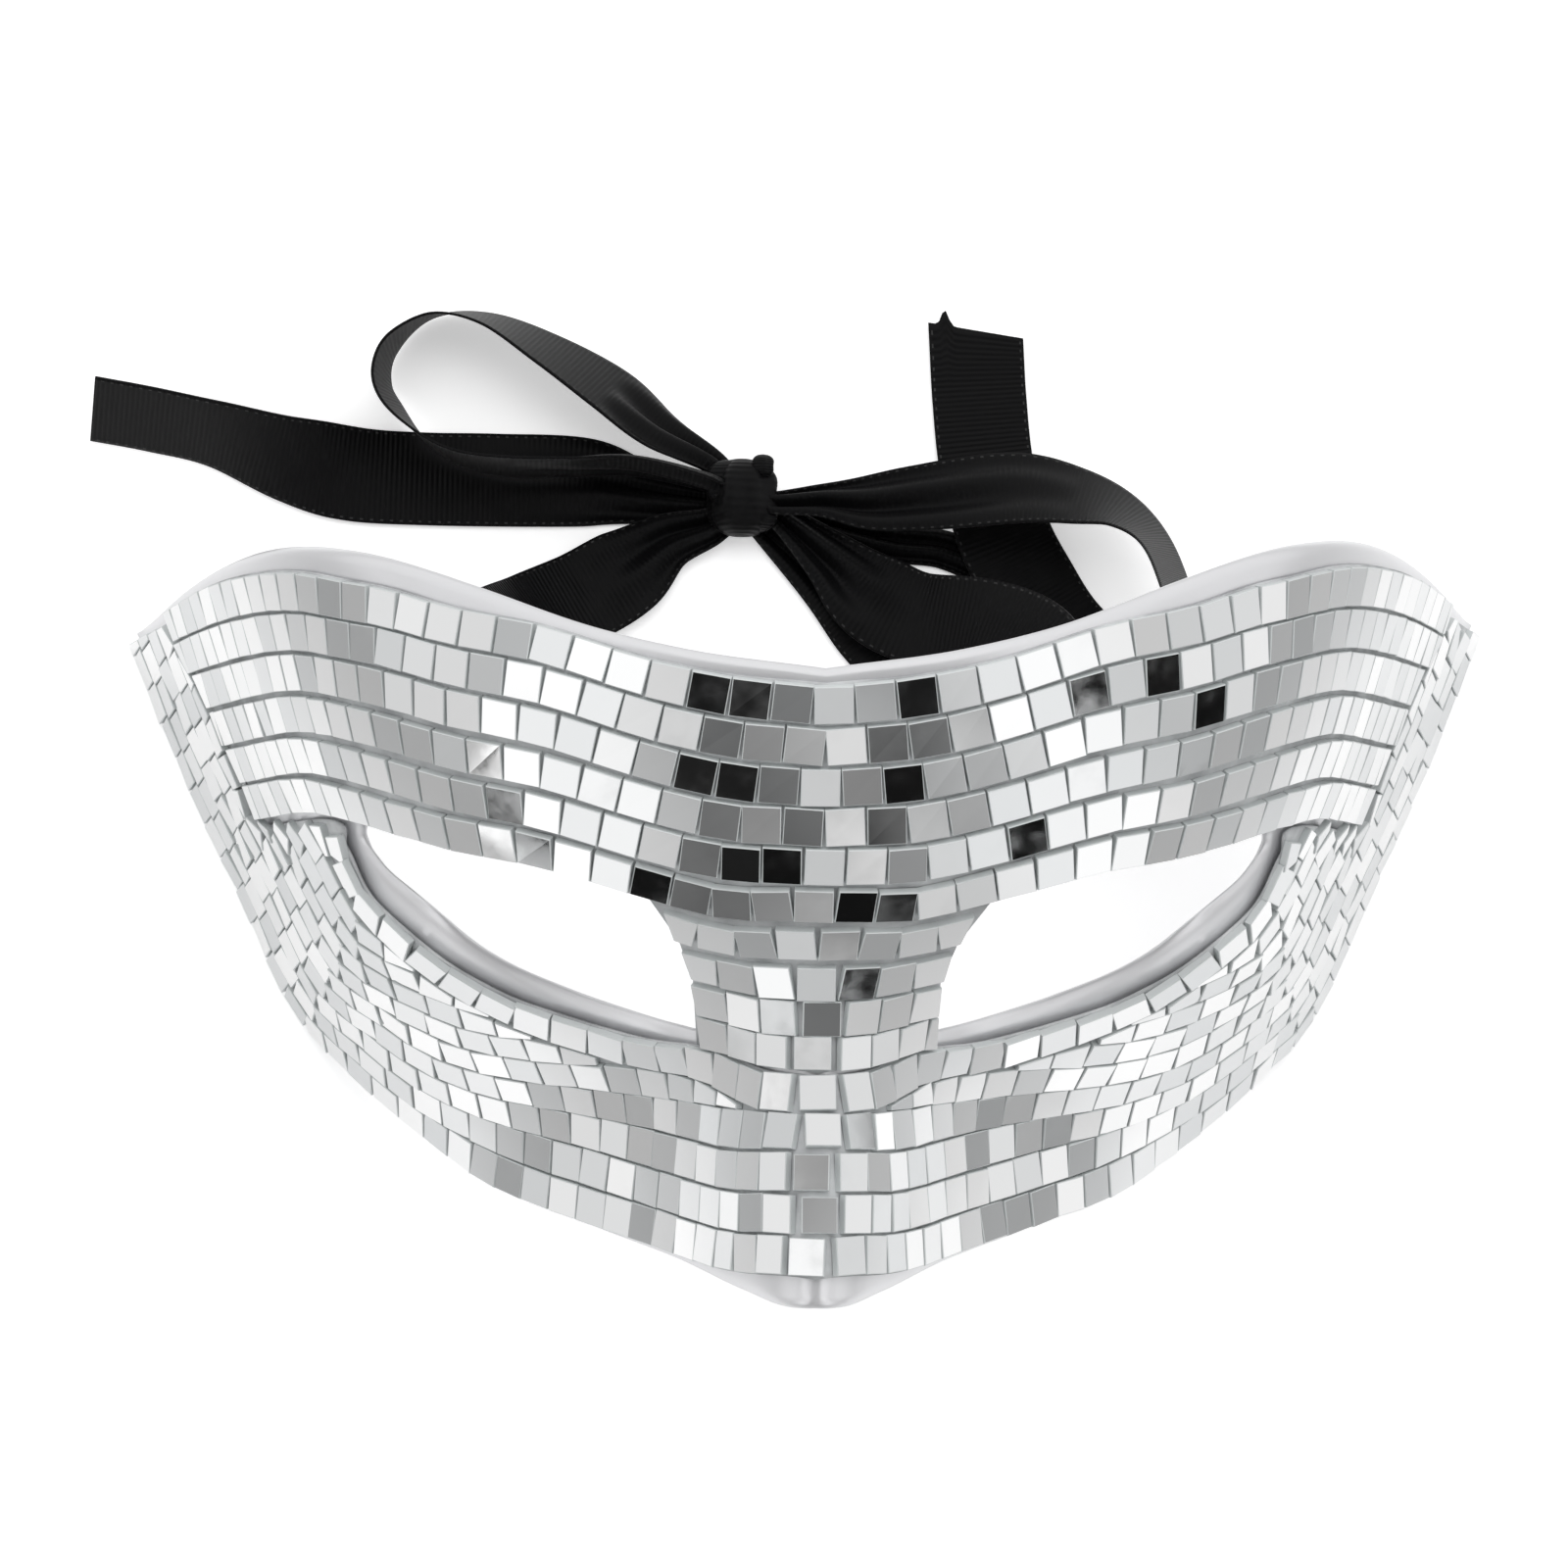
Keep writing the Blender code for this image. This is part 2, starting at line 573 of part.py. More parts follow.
parts = [
    make_shell(silver_plastic),
    make_brow_tiles(mirror_glass),
    make_cheek_tiles(mirror_glass),
    make_knot(black_ribbon),
    lying_ribbon("bow_loop_left", LOOP_LEFT, LOOP_REACH, black_ribbon, 30),
    lying_ribbon("bow_loop_right", LOOP_RIGHT, LOOP_REACH, black_ribbon, 28),
    lying_ribbon("ribbon_tail_left", TAIL_LEFT, TAIL_REACH, black_ribbon, 14),
    lying_ribbon("ribbon_tail_right", TAIL_RIGHT, RAGGED_TAIL_REACH, black_ribbon, 28),
    tie_ribbon("ribbon_tie_left", TIE_LEFT, -TIE_SEAT_ACROSS, -TIE_SEAT_LEFT, black_ribbon, 18),
    tie_ribbon("ribbon_tie_right", TIE_RIGHT, TIE_SEAT_ACROSS, -TIE_SEAT_RIGHT, black_ribbon, 22),
]
set_on_origin(parts)
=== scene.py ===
"""A disco ball mask, lying face up on a pale table with its ribbons tied in a bow behind it.

X runs across the face, +Y points to the forehead and on to the bow, +Z is up. Lengths are in metres. Plan
places on the mask are shares: 'across' of HALF_WIDTH from the middle, 'down' of LENGTH from the line through
the two temple tips towards the nose tip.
"""

import bmesh
import bpy
import numpy as np
from mathutils import Matrix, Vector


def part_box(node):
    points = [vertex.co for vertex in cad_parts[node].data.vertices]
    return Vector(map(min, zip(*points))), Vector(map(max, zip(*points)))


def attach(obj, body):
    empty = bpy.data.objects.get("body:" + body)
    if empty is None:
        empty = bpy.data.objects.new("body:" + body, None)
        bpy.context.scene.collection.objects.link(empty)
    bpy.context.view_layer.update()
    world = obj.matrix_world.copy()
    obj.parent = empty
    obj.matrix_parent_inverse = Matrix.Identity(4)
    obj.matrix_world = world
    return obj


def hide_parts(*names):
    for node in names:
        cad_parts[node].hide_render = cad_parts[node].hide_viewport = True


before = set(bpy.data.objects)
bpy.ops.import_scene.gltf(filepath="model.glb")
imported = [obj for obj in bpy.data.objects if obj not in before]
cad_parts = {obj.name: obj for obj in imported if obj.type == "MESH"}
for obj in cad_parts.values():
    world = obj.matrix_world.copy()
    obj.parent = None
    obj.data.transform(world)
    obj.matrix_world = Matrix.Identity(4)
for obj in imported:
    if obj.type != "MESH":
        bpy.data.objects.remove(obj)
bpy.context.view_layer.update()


# The shell is a half mask moulded in thin plastic and sprayed satin silver. Its edges are rounded over, and a
# lip turns in under the eye holes. It shows as a bare rim along the brow, as the lips and at the nose tip.
HALF_WIDTH = 0.0923
LENGTH = 0.102
DEPTH = 0.104
NOSE_RISE = 0.024
NOSE_SPREAD = 0.0105
TEMPLE_LEAN = 0.0032
CREST_ROUND = 0.04
SHELL_TOP_SINK = 0.0004
SHELL_UNDER_SINK = 0.0029
RIM_ROUND = 0.0015
EYE_ROUND = 0.0009
FLOOR_ROUND_SHARE = 0.15
FLOOR_ROUND_HEIGHT = 0.008
EYE_WALL = 0.0012
LIP_DROP = 0.0009
LIP_WIDTH = 0.0034
LIP_SET_BACK = 0.0015
# The lip begins at this share of the brow strips and ends this share of the nose strips before their end
LIP_BEGINS = 0.6
LIP_ENDS = 0.35
BAND_CROWDING = 0.8
SLOPE_STEP = 0.0002
HALVINGS = 26
SHELL_WELD = 2e-6
WELD = 1e-6
KNOT_ACROSS = -0.009
KNOT_BEHIND = 0.0175

# Cross sections of the face form: down, half width (of HALF_WIDTH), vault height (of DEPTH), nose (of
# NOSE_RISE), squareness of the crown, roundness of the shoulder, share of the width taken by the wall's lean
SECTIONS = [
    (-0.032, 1.013, 1.019, 0.000, 6.0, 2.2, 0.315),
    (0.105, 0.953, 1.019, 0.000, 6.0, 2.2, 0.315),
    (0.262, 0.878, 1.000, 0.000, 6.0, 2.2, 0.315),
    (0.379, 0.818, 0.928, 0.000, 5.4, 2.2, 0.315),
    (0.497, 0.758, 0.827, 0.125, 4.2, 2.1, 0.310),
    (0.595, 0.693, 0.635, 0.458, 2.9, 2.0, 0.305),
    (0.693, 0.618, 0.510, 0.833, 2.1, 1.9, 0.300),
    (0.811, 0.580, 0.481, 1.000, 1.8, 1.8, 0.300),
    (1.010, 0.542, 0.462, 1.000, 1.8, 1.8, 0.300),
]
# Shell outline and eye hole, as pairs of places: across and down on the outer edge, then on the eye's edge
BROW_TO_EYE = [
    (0.000, 0.249, 0.245, 0.501),
    (0.184, 0.223, 0.276, 0.491),
    (0.314, 0.190, 0.330, 0.476),
    (0.488, 0.123, 0.417, 0.455),
    (0.672, 0.051, 0.515, 0.426),
    (0.813, 0.011, 0.580, 0.402),
    (0.932, -0.004, 0.618, 0.389),
    (0.9991, 0.000, 0.635, 0.385),
]
# Where the outer edge stands on the floor its 'across' is None and comes from the face form
SIDE_TO_EYE = [
    (None, 0.000, 0.635, 0.385),
    (None, 0.115, 0.638, 0.389),
    (None, 0.262, 0.635, 0.398),
    (None, 0.399, 0.618, 0.415),
    (None, 0.517, 0.580, 0.447),
    (None, 0.595, 0.515, 0.497),
    (0.563, 0.699, 0.433, 0.544),
    (0.448, 0.791, 0.336, 0.579),
    (0.330, 0.848, 0.249, 0.606),
    (0.200, 0.909, 0.195, 0.622),
    (0.108, 0.966, 0.177, 0.627),
    (0.054, 0.994, 0.170, 0.625),
    (0.018, 1.000, 0.167, 0.622),
    (0.000, 1.000, 0.166, 0.621),
]
NOSE_TO_EYE = [
    (0.000, 1.000, 0.166, 0.621),
    (0.000, 0.870, 0.167, 0.611),
    (0.000, 0.742, 0.171, 0.598),
    (0.000, 0.625, 0.178, 0.581),
    (0.000, 0.507, 0.193, 0.549),
    (0.000, 0.379, 0.215, 0.522),
    (0.000, 0.249, 0.245, 0.501),
]

knot_low, knot_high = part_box("bow_knot")
# Everything is worked out round the middle of the temple line, then moved to where the knot shows it to be
mask_place = np.array(
    [(knot_low[0] + knot_high[0]) / 2 - KNOT_ACROSS, (knot_low[1] + knot_high[1]) / 2 - KNOT_BEHIND, 0]
)


def linear(hex_colour):
    """A hex sRGB colour as linear red, green, blue and alpha 1."""
    parts = np.array([int(hex_colour[i : i + 2], 16) / 255 for i in (1, 3, 5)])
    parts = np.where(parts <= 0.04045, parts / 12.92, ((parts + 0.055) / 1.055) ** 2.4)
    return (*parts.tolist(), 1)


def add_node(tree, kind, settings=(), inputs=()):
    """Adds a shader node. Each input is given a value, or another node's output to link from."""
    node = tree.nodes.new("ShaderNode" + kind)
    for name, value in dict(settings).items():
        setattr(node, name, value)
    for name, value in dict(inputs).items():
        if isinstance(value, bpy.types.NodeSocket):
            tree.links.new(value, node.inputs[name])
        else:
            node.inputs[name].default_value = value
    return node


def new_material(name):
    """A material with its node tree and its Principled shader."""
    material = bpy.data.materials.new(name)
    material.use_nodes = True
    return material, material.node_tree, material.node_tree.nodes["Principled BSDF"]


def curve(table, column, at):
    """Cubic Hermite curve through a table's column over its first column, held at the table's ends."""
    rows = np.array(table, float)
    x, y = rows[:, 0], rows[:, column]
    slope = np.gradient(y, x)
    at = np.clip(at, x[0], x[-1])
    i = np.clip(np.searchsorted(x, at) - 1, 0, len(x) - 2)
    step = x[i + 1] - x[i]
    t = (at - x[i]) / step
    return (
        (2 * t**3 - 3 * t**2 + 1) * y[i]
        + (t**3 - 2 * t**2 + t) * step * slope[i]
        + (3 * t**2 - 2 * t**3) * y[i + 1]
        + (t**3 - t**2) * step * slope[i + 1]
    )


def half_width(down):
    """Half the width of the face form on the floor."""
    return curve(SECTIONS, 1, down) * HALF_WIDTH


def face_height(x, y):
    """Height of the face form: a superellipse arch with leaning walls, plus a bell curve for the nose.

    The reach is the root of the square of x over the half width plus the square of CREST_ROUND, which takes
    the crease off the crest. The arch gives the reach for a height, so the height is found by halving.
    """
    down = -y / LENGTH
    vault = curve(SECTIONS, 2, down) * DEPTH
    nose = curve(SECTIONS, 3, down) * NOSE_RISE
    square, shoulder, lean = (curve(SECTIONS, k, down) for k in (4, 5, 6))
    reach = np.sqrt((x / half_width(down)) ** 2 + CREST_ROUND**2)
    low, high = np.zeros_like(reach), np.ones_like(reach)
    for _ in range(HALVINGS):
        middle = (low + high) / 2
        arch = (1 - lean) * (1 - middle**square) ** (1 / shoulder) + lean * (1 - middle)
        low = np.where(arch < reach, low, middle)
        high = np.where(arch < reach, middle, high)
    outside = np.maximum(reach - 1, 0) * vault / lean
    return vault * (low + high) / 2 - outside + nose * np.exp(-((x / NOSE_SPREAD) ** 2) / 2)


def on_face(x, y, sink=0.0):
    """Points of the face form, sunk square to its surface, but level where it stands on the floor."""
    x, y, sink = np.broadcast_arrays(np.asarray(x, float), np.asarray(y, float), sink)
    h = SLOPE_STEP
    z = face_height(x, y)
    normal = np.stack(
        [
            (face_height(x - h, y) - face_height(x + h, y)) / (2 * h),
            (face_height(x, y - h) - face_height(x, y + h)) / (2 * h),
            np.ones_like(z),
        ],
        axis=-1,
    )
    normal /= np.linalg.norm(normal, axis=-1, keepdims=True)
    level = np.clip(z / FLOOR_ROUND_HEIGHT, 0, 1)
    way = normal * np.stack([np.ones_like(z), np.ones_like(z), level], axis=-1)
    way /= np.sum(way * normal, axis=-1, keepdims=True)
    return np.stack([x, y, z], axis=-1) - sink[..., None] * way


def placed(points):
    """Leans the +X temple a little further forward than the other one, and moves points to the frame."""
    out = np.array(points, float)
    share = np.clip(1 + out[..., 1] / (LENGTH / 2), 0, 1)
    out[..., 1] += TEMPLE_LEAN / 2 * out[..., 0] / HALF_WIDTH * share * (3 - 2 * share) * share
    return out + mask_place


def paired(table, count):
    """Plan places along a table of pairs: (outer places, inner places), count + 1 of each."""
    rows = np.array(
        [
            (half_width(down) / HALF_WIDTH if across is None else across, down, inner_x, inner_y)
            for across, down, inner_x, inner_y in table
        ]
    )
    along = np.concatenate([[0], np.cumsum(np.linalg.norm(np.diff(rows[:, :2], axis=0), axis=1))])
    keyed = np.column_stack([along, rows])
    at = np.linspace(0, along[-1], count + 1)
    places = np.stack([curve(keyed, k, at) for k in (1, 2, 3, 4)], axis=-1)
    on_floor = places[:, 1] <= max([row[1] for row in table if row[0] is None], default=-1)
    places[:, 0] = np.where(on_floor, half_width(places[:, 1]) / HALF_WIDTH, places[:, 0])
    scale = np.array([HALF_WIDTH, -LENGTH])
    return places[:, :2] * scale, places[:, 2:] * scale


def unit(vectors):
    """Vectors at length one."""
    return vectors / np.maximum(np.linalg.norm(vectors, axis=-1, keepdims=True), 1e-12)


def grid_quads(rows, columns, first=0, flip=False):
    """The quads of a grid of points, as an array of four indices each."""
    corner = first + np.arange(rows - 1)[:, None] * columns + np.arange(columns - 1)
    quads = np.stack([corner, corner + 1, corner + columns + 1, corner + columns], axis=-1).reshape(-1, 4)
    return quads[:, ::-1] if flip else quads


def weld(mesh, distance):
    """Merges the points of a mesh that are this close, and turns its faces outward."""
    bm = bmesh.new()
    bm.from_mesh(mesh)
    bmesh.ops.remove_doubles(bm, verts=bm.verts, dist=distance)
    bmesh.ops.recalc_face_normals(bm, faces=bm.faces)
    bm.to_mesh(mesh)
    bm.free()


def add_mesh(name, points, quads, materials, smooth=True, merge=None):
    """An object at the origin from arrays of points and quads, welded if a distance is given."""
    mesh = bpy.data.meshes.new(name)
    mesh.from_pydata(points.tolist(), [], quads.tolist())
    for material in materials:
        mesh.materials.append(material)
    if merge:
        weld(mesh, merge)
    mesh.polygons.foreach_set("use_smooth", np.full(len(mesh.polygons), smooth))
    obj = bpy.data.objects.new(name, mesh)
    bpy.context.scene.collection.objects.link(obj)
    return obj


def shell_sheets(brow_strips=70, side_strips=120, nose_strips=70, across=30, turns=10):
    """The shell's skins on one side. Strips run from the outline to the eye hole; each end is a half circle.

    Towards the eye hole the wall thins, and along the lower lid it turns in.
    At angle a round an edge, the place is inset by radius * (1 - sin a) and sunk by wall / 2 * (1 - cos a).
    """
    brow = paired(BROW_TO_EYE, brow_strips)
    side = paired(SIDE_TO_EYE, side_strips)
    nose = paired(NOSE_TO_EYE, nose_strips)
    outline = np.concatenate([brow[0][:-1], side[0]])
    hole = np.concatenate([brow[1][:-1], side[1], nose[1][1:]])
    travel = unit(np.gradient(outline, axis=0))
    inward = np.stack([travel[:, 1], -travel[:, 0]], axis=-1)
    inward[[0, -1]] = [[0, -1], [0, 1]]
    height = face_height(outline[:, 0], outline[:, 1])
    radius = RIM_ROUND * np.clip(height / FLOOR_ROUND_HEIGHT, FLOOR_ROUND_SHARE, 1)
    start = outline + inward * radius[:, None]
    middle_line = np.linspace(start[-1, 1], start[0, 1], nose_strips + 1)[1:]
    start = np.concatenate([start, np.stack([np.zeros(nose_strips), middle_line], axis=-1)])
    outward = unit(start - hole)
    lip = np.interp(
        np.arange(len(hole)),
        [brow_strips * LIP_BEGINS, brow_strips, len(hole) - nose_strips * LIP_ENDS, len(hole) - 1],
        [0, 1, 1, 0],
    )
    hole = hole + outward * LIP_SET_BACK * lip[:, None]
    end = hole + outward * EYE_ROUND

    def lip_sink(distance):
        """How much deeper the lip lies at this distance from the eye hole."""
        return LIP_DROP * lip[:, None] * (1 - np.clip(distance / LIP_WIDTH, 0, 1)) ** 2

    angle = np.linspace(0, np.pi, turns)
    wall = SHELL_UNDER_SINK - SHELL_TOP_SINK
    turn_sink = SHELL_TOP_SINK + wall / 2 * (1 - np.cos(angle))
    rim = outline[:, None] + (inward * radius[:, None])[:, None] * (1 - np.sin(angle))[None, :, None]
    sheets = [on_face(rim[..., 0], rim[..., 1], turn_sink[None, :])]
    eye_inset = EYE_ROUND * (1 - np.sin(angle))
    eye = hole[:, None] + outward[:, None] * eye_inset[None, :, None]
    eye_sink = SHELL_TOP_SINK + EYE_WALL / 2 * (1 - np.cos(angle))
    sheets.append(on_face(eye[..., 0], eye[..., 1], eye_sink[None, :] + lip_sink(eye_inset[None, :])))
    share = np.linspace(0, 1, across) ** BAND_CROWDING
    plan = start[:, None] * (1 - share[:, None]) + end[:, None] * share[:, None]
    to_hole = np.linalg.norm(plan - hole[:, None], axis=-1)
    full_wall = np.clip((to_hole - EYE_ROUND) / LIP_WIDTH, 0, 1)
    for depth in (0, EYE_WALL + (wall - EYE_WALL) * full_wall):
        sheets.append(on_face(plan[..., 0], plan[..., 1], SHELL_TOP_SINK + depth + lip_sink(to_hole)))
    return sheets


# Satin silver spray on moulded ABS: a soft wide highlight, with the faint orange peel of sprayed paint
silver_spray, tree, shader = new_material("satin silver spray on ABS")
shader.inputs["Base Color"].default_value = linear("#e6e6e8")
shader.inputs["Metallic"].default_value = 0.6
shader.inputs["Roughness"].default_value = 0.3
place = add_node(tree, "TexCoord").outputs["Object"]
PEEL_SPACING = 0.0009
PEEL_DEPTH = 0.00008
peel = add_node(tree, "TexNoise", inputs={"Vector": place, "Scale": 1 / PEEL_SPACING, "Detail": 3.0})
peel_bump = add_node(
    tree, "Bump", inputs={"Strength": 0.12, "Distance": PEEL_DEPTH, "Height": peel.outputs["Fac"]}
)
tree.links.new(peel_bump.outputs["Normal"], shader.inputs["Normal"])

points, quads = [], []
for side in (1, -1):
    for sheet in shell_sheets():
        sheet[np.abs(sheet[..., 0]) < WELD, 0] = 0
        quads.append(grid_quads(*sheet.shape[:2], first=sum(len(p) for p in points)))
        points.append(placed((sheet * [side, 1, 1]).reshape(-1, 3)))
shell = add_mesh("shell", np.concatenate(points), np.concatenate(quads), [silver_spray], merge=SHELL_WELD)
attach(shell, "root")
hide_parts("mask_shell")


# The mirror tiles are 5 mm squares of silvered glass, cut and ground, that come in rows on a thin woven
# backing. Each row is glued down by hand, so every tile sits at a slightly different tilt.
TILE = 0.005
TILE_JOINT = 0.00022
ROW_JOINT = 0.00032
TILE_THICK = 0.001
TILE_BEVEL = 0.00011
BACKING_THICK = 0.0003
PITCH = TILE + TILE_JOINT
ROW_PITCH = TILE + ROW_JOINT
SHORTEST_TILE = 0.0011
SLIMMEST_CORNER = 0.0003
BROW_TILT = 0.016
CHEEK_TILT = 0.030
TURN_SPREAD = 0.012
FIELD_GAP = 0.0003
# Points along half a brow line, sections across the cheek field, points along one, lines of its backing
LINE_POINTS = 240
CHEEK_SECTIONS = 360
SECTION_POINTS = 80
BACKING_LINES = 24

# Brow tile field: across, down at its top edge, down at its lower edge over the eye
BROW_FIELD = [
    (0.000, 0.264, 0.530),
    (0.130, 0.252, 0.523),
    (0.238, 0.230, 0.498),
    (0.379, 0.183, 0.459),
    (0.524, 0.141, 0.420),
    (0.596, 0.111, 0.391),
    (0.661, 0.087, 0.359),
    (0.718, 0.063, 0.330),
    (0.790, 0.038, 0.303),
    (0.870, 0.016, 0.268),
    (0.940, 0.007, 0.225),
    (1.000, 0.006, 0.190),
]
BROW_ROWS = (0, 0.175, 0.345, 0.52, 0.69, 0.85, 1)
BRIDGE_ROWS = (0, 0.235, 0.49, 0.745, 1)
BRIDGE_SIDE = [(0.501, 0.232), (0.532, 0.196), (0.562, 0.176), (0.591, 0.166), (0.660, 0.160), (0.700, 0.160)]
# Where a joint falls in each row, as a share of a tile right of the middle
BROW_PHASE = (0.70, 0.02, 0.42, 0.03, 0.55, 0.33, 0.95, 0.45, 0.58, 0.40)
# Cheek tile field, as pairs: across and down on the jaw edge, then on its inner edge round the eye
CHEEK_FIELD = [
    (None, 0.010, 0.935, 0.020),
    (None, 0.130, 0.872, 0.134),
    (None, 0.230, 0.823, 0.237),
    (None, 0.300, 0.789, 0.309),
    (None, 0.345, 0.685, 0.351),
    (None, 0.420, 0.660, 0.389),
    (None, 0.535, 0.617, 0.460),
    (0.657, 0.613, 0.538, 0.524),
    (0.563, 0.696, 0.448, 0.571),
    (0.454, 0.786, 0.350, 0.605),
    (0.342, 0.840, 0.240, 0.636),
    (0.219, 0.894, 0.143, 0.658),
    (0.103, 0.948, 0.065, 0.696),
    (0.000, 0.969, 0.000, 0.708),
]
REAR_MARGIN = 0.0004
CHEEK_PHASE = (0.32, 0.55, 0.40, 0.62, 0.48, 0.35, 0.60, 0.45, 0.30, 0.58, 0.38, 0.52)
EYE_ROW_PHASE = 0.52
# The row along the eye's lower edge comes in between these places, down on the inner edge
EYE_ROW_STARTS = (0.352, 0.366)


def colour_ramp(tree, factor, stops):
    """A colour ramp over a factor, with these places and hex colours."""
    ramp = add_node(tree, "ValToRGB", inputs={"Fac": factor})
    while len(ramp.color_ramp.elements) < len(stops):
        ramp.color_ramp.elements.new(0.5)
    for stop, (where, colour) in zip(ramp.color_ramp.elements, stops):
        stop.position = where
        stop.color = linear(colour)
    return ramp.outputs["Color"]


# Silvered float glass: a clean mirror with a trace of handling haze. The silvering differs from tile to tile
mirror, tree, shader = new_material("silvered glass")
shader.inputs["Metallic"].default_value = 1.0
silvering = add_node(tree, "Attribute", {"attribute_name": "silvering"})
silver_colour = colour_ramp(tree, silvering.outputs["Fac"], [(0.0, "#d3d5d6"), (1.0, "#fafafa")])
tree.links.new(silver_colour, shader.inputs["Base Color"])
place = add_node(tree, "TexCoord").outputs["Object"]
HAZE_SPACING = 0.004
haze = add_node(tree, "TexNoise", inputs={"Vector": place, "Scale": 1 / HAZE_SPACING, "Detail": 5.0})
haze_range = add_node(
    tree,
    "MapRange",
    inputs={"Value": haze.outputs["Fac"], "From Min": 0.35, "From Max": 0.8, "To Min": 0.015, "To Max": 0.09},
)
tree.links.new(haze_range.outputs["Result"], shader.inputs["Roughness"])

# Ground glass edge: pale and matt where the wheel has cut it
ground_edge, tree, shader = new_material("ground glass edge")
shader.inputs["Base Color"].default_value = linear("#d4d8d8")
shader.inputs["Roughness"].default_value = 0.35
shader.inputs["Metallic"].default_value = 0.2

# Grey woven backing with dried glue, seen only as thin lines between the tiles
backing, tree, shader = new_material("grey woven backing")
shader.inputs["Roughness"].default_value = 0.7
place = add_node(tree, "TexCoord").outputs["Object"]
GLUE_SPACING = 0.006
glue = add_node(tree, "TexNoise", inputs={"Vector": place, "Scale": 1 / GLUE_SPACING, "Detail": 4.0})
glue_colour = colour_ramp(tree, glue.outputs["Fac"], [(0.3, "#a4a6a8"), (0.7, "#d8dadb")])
tree.links.new(glue_colour, shader.inputs["Base Color"])

tile_random = np.random.default_rng(5)


def lay_row(lower, upper, phase):
    """Places the tiles of one row between two plan lines that run from left to right over the middle.

    The tiles step along the row's centre line at one pitch, measured on the face form, with a joint at the
    given share of the pitch from the middle. Each lies in the plane of the form's chords. Where the lines or
    the row's end leave less room than a whole tile, its corners follow them, as on a tile cut to fit.
    """
    centre = (lower + upper) / 2
    walk = on_face(centre[:, 0], centre[:, 1])
    along = np.concatenate([[0], np.cumsum(np.linalg.norm(np.diff(walk, axis=0), axis=1))])
    along -= np.interp(0, centre[:, 0], along)
    first = int(np.floor(along[0] / PITCH - phase))
    joints = (np.arange(first, int(np.ceil(along[-1] / PITCH - phase)) + 1) + phase) * PITCH
    begin, finish = (np.clip(ends, along[0], along[-1]) for ends in (joints[:-1], joints[1:]))
    at = (begin + finish) / 2

    def line(edge, s):
        """Points of a plan line at these distances along the row."""
        return on_face(np.interp(s, along, edge[:, 0]), np.interp(s, along, edge[:, 1]))

    run_end = line(centre, np.minimum(at + TILE / 2, along[-1]))
    run = run_end - line(centre, np.maximum(at - TILE / 2, along[0]))
    rise = line(upper, at) - line(lower, at)
    out = unit(np.cross(run, rise))
    out *= np.sign(out[:, 2:])
    middle = (line(centre, at) * 2 + line(lower, at) + line(upper, at)) / 4
    ahead = unit(run - np.sum(run * out, axis=1, keepdims=True) * out)
    side = np.cross(out, ahead)
    corners = []
    for edge, s, right, high in (
        (lower, begin, -1, -1),
        (lower, finish, 1, -1),
        (upper, finish, 1, 1),
        (upper, begin, -1, 1),
    ):
        at_end = (s == along[0]) | (s == along[-1])
        reach = line(edge, s) - middle
        reach_ahead = np.where(at_end[:, None], reach, line(centre, s) - middle)
        x = right * np.sum(reach_ahead * ahead, axis=1) - TILE_JOINT / 2
        y = high * np.sum(reach * side, axis=1) - ROW_JOINT / 2
        x, y = (part.clip(SLIMMEST_CORNER, TILE / 2) for part in (x, y))
        corners.append(np.stack([right * x, high * y], axis=1))
    corners = np.stack(corners, axis=1)
    extent = np.abs(corners).mean(axis=1) * 2
    kept = (extent > SHORTEST_TILE).all(axis=1)
    return np.column_stack([middle, out, ahead, corners.reshape(-1, 8)])[kept]


def tile_mesh(name, tiles, node, tilt_spread):
    """Turns rows of (middle, out, ahead, four corners) into bevelled plates on the backing, each tilted."""
    middle, out, ahead, corners = np.split(tiles, [3, 6, 9], axis=1)
    count = len(tiles)
    corners = corners.reshape(count, 4, 2)
    side = np.cross(out, ahead)
    tilt = tile_random.normal(0, tilt_spread, (count, 2))
    turn = tile_random.normal(0, TURN_SPREAD, (count, 1))
    out = unit(out + ahead * tilt[:, :1] + side * tilt[:, 1:])
    ahead = unit(ahead + side * turn)
    ahead = unit(ahead - np.sum(ahead * out, axis=1, keepdims=True) * out)
    side = np.cross(out, ahead)
    rise = [0, TILE_THICK - TILE_BEVEL, TILE_THICK]
    inset = [0, 0, TILE_BEVEL]
    points = []
    for up, less in zip(rise, inset):
        across, over = np.split(corners - np.sign(corners) * less, 2, axis=2)
        level = (middle + out * (BACKING_THICK + up))[:, None]
        points.append(level + ahead[:, None] * across + side[:, None] * over)
    points = np.stack(points, axis=1)
    walls = [(a + k, a + (k + 1) % 4, a + 4 + (k + 1) % 4, a + 4 + k) for a in (0, 4) for k in range(4)]
    plate = np.array([(3, 2, 1, 0), *walls, (8, 9, 10, 11)])
    quads = (np.arange(count)[:, None, None] * 12 + plate).reshape(-1, 4)
    obj = add_mesh(name, placed(points.reshape(-1, 3)), quads, [mirror, ground_edge], smooth=False)
    finish = np.ones((count, len(plate)), int)
    finish[:, -1] = 0
    obj.data.polygons.foreach_set("material_index", finish.reshape(-1))
    shade = obj.data.attributes.new("silvering", "FLOAT", "POINT")
    shade.data.foreach_set("value", np.repeat(tile_random.random(count), 12).astype(np.float32))
    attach(obj, "root")
    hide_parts(node)
    return obj


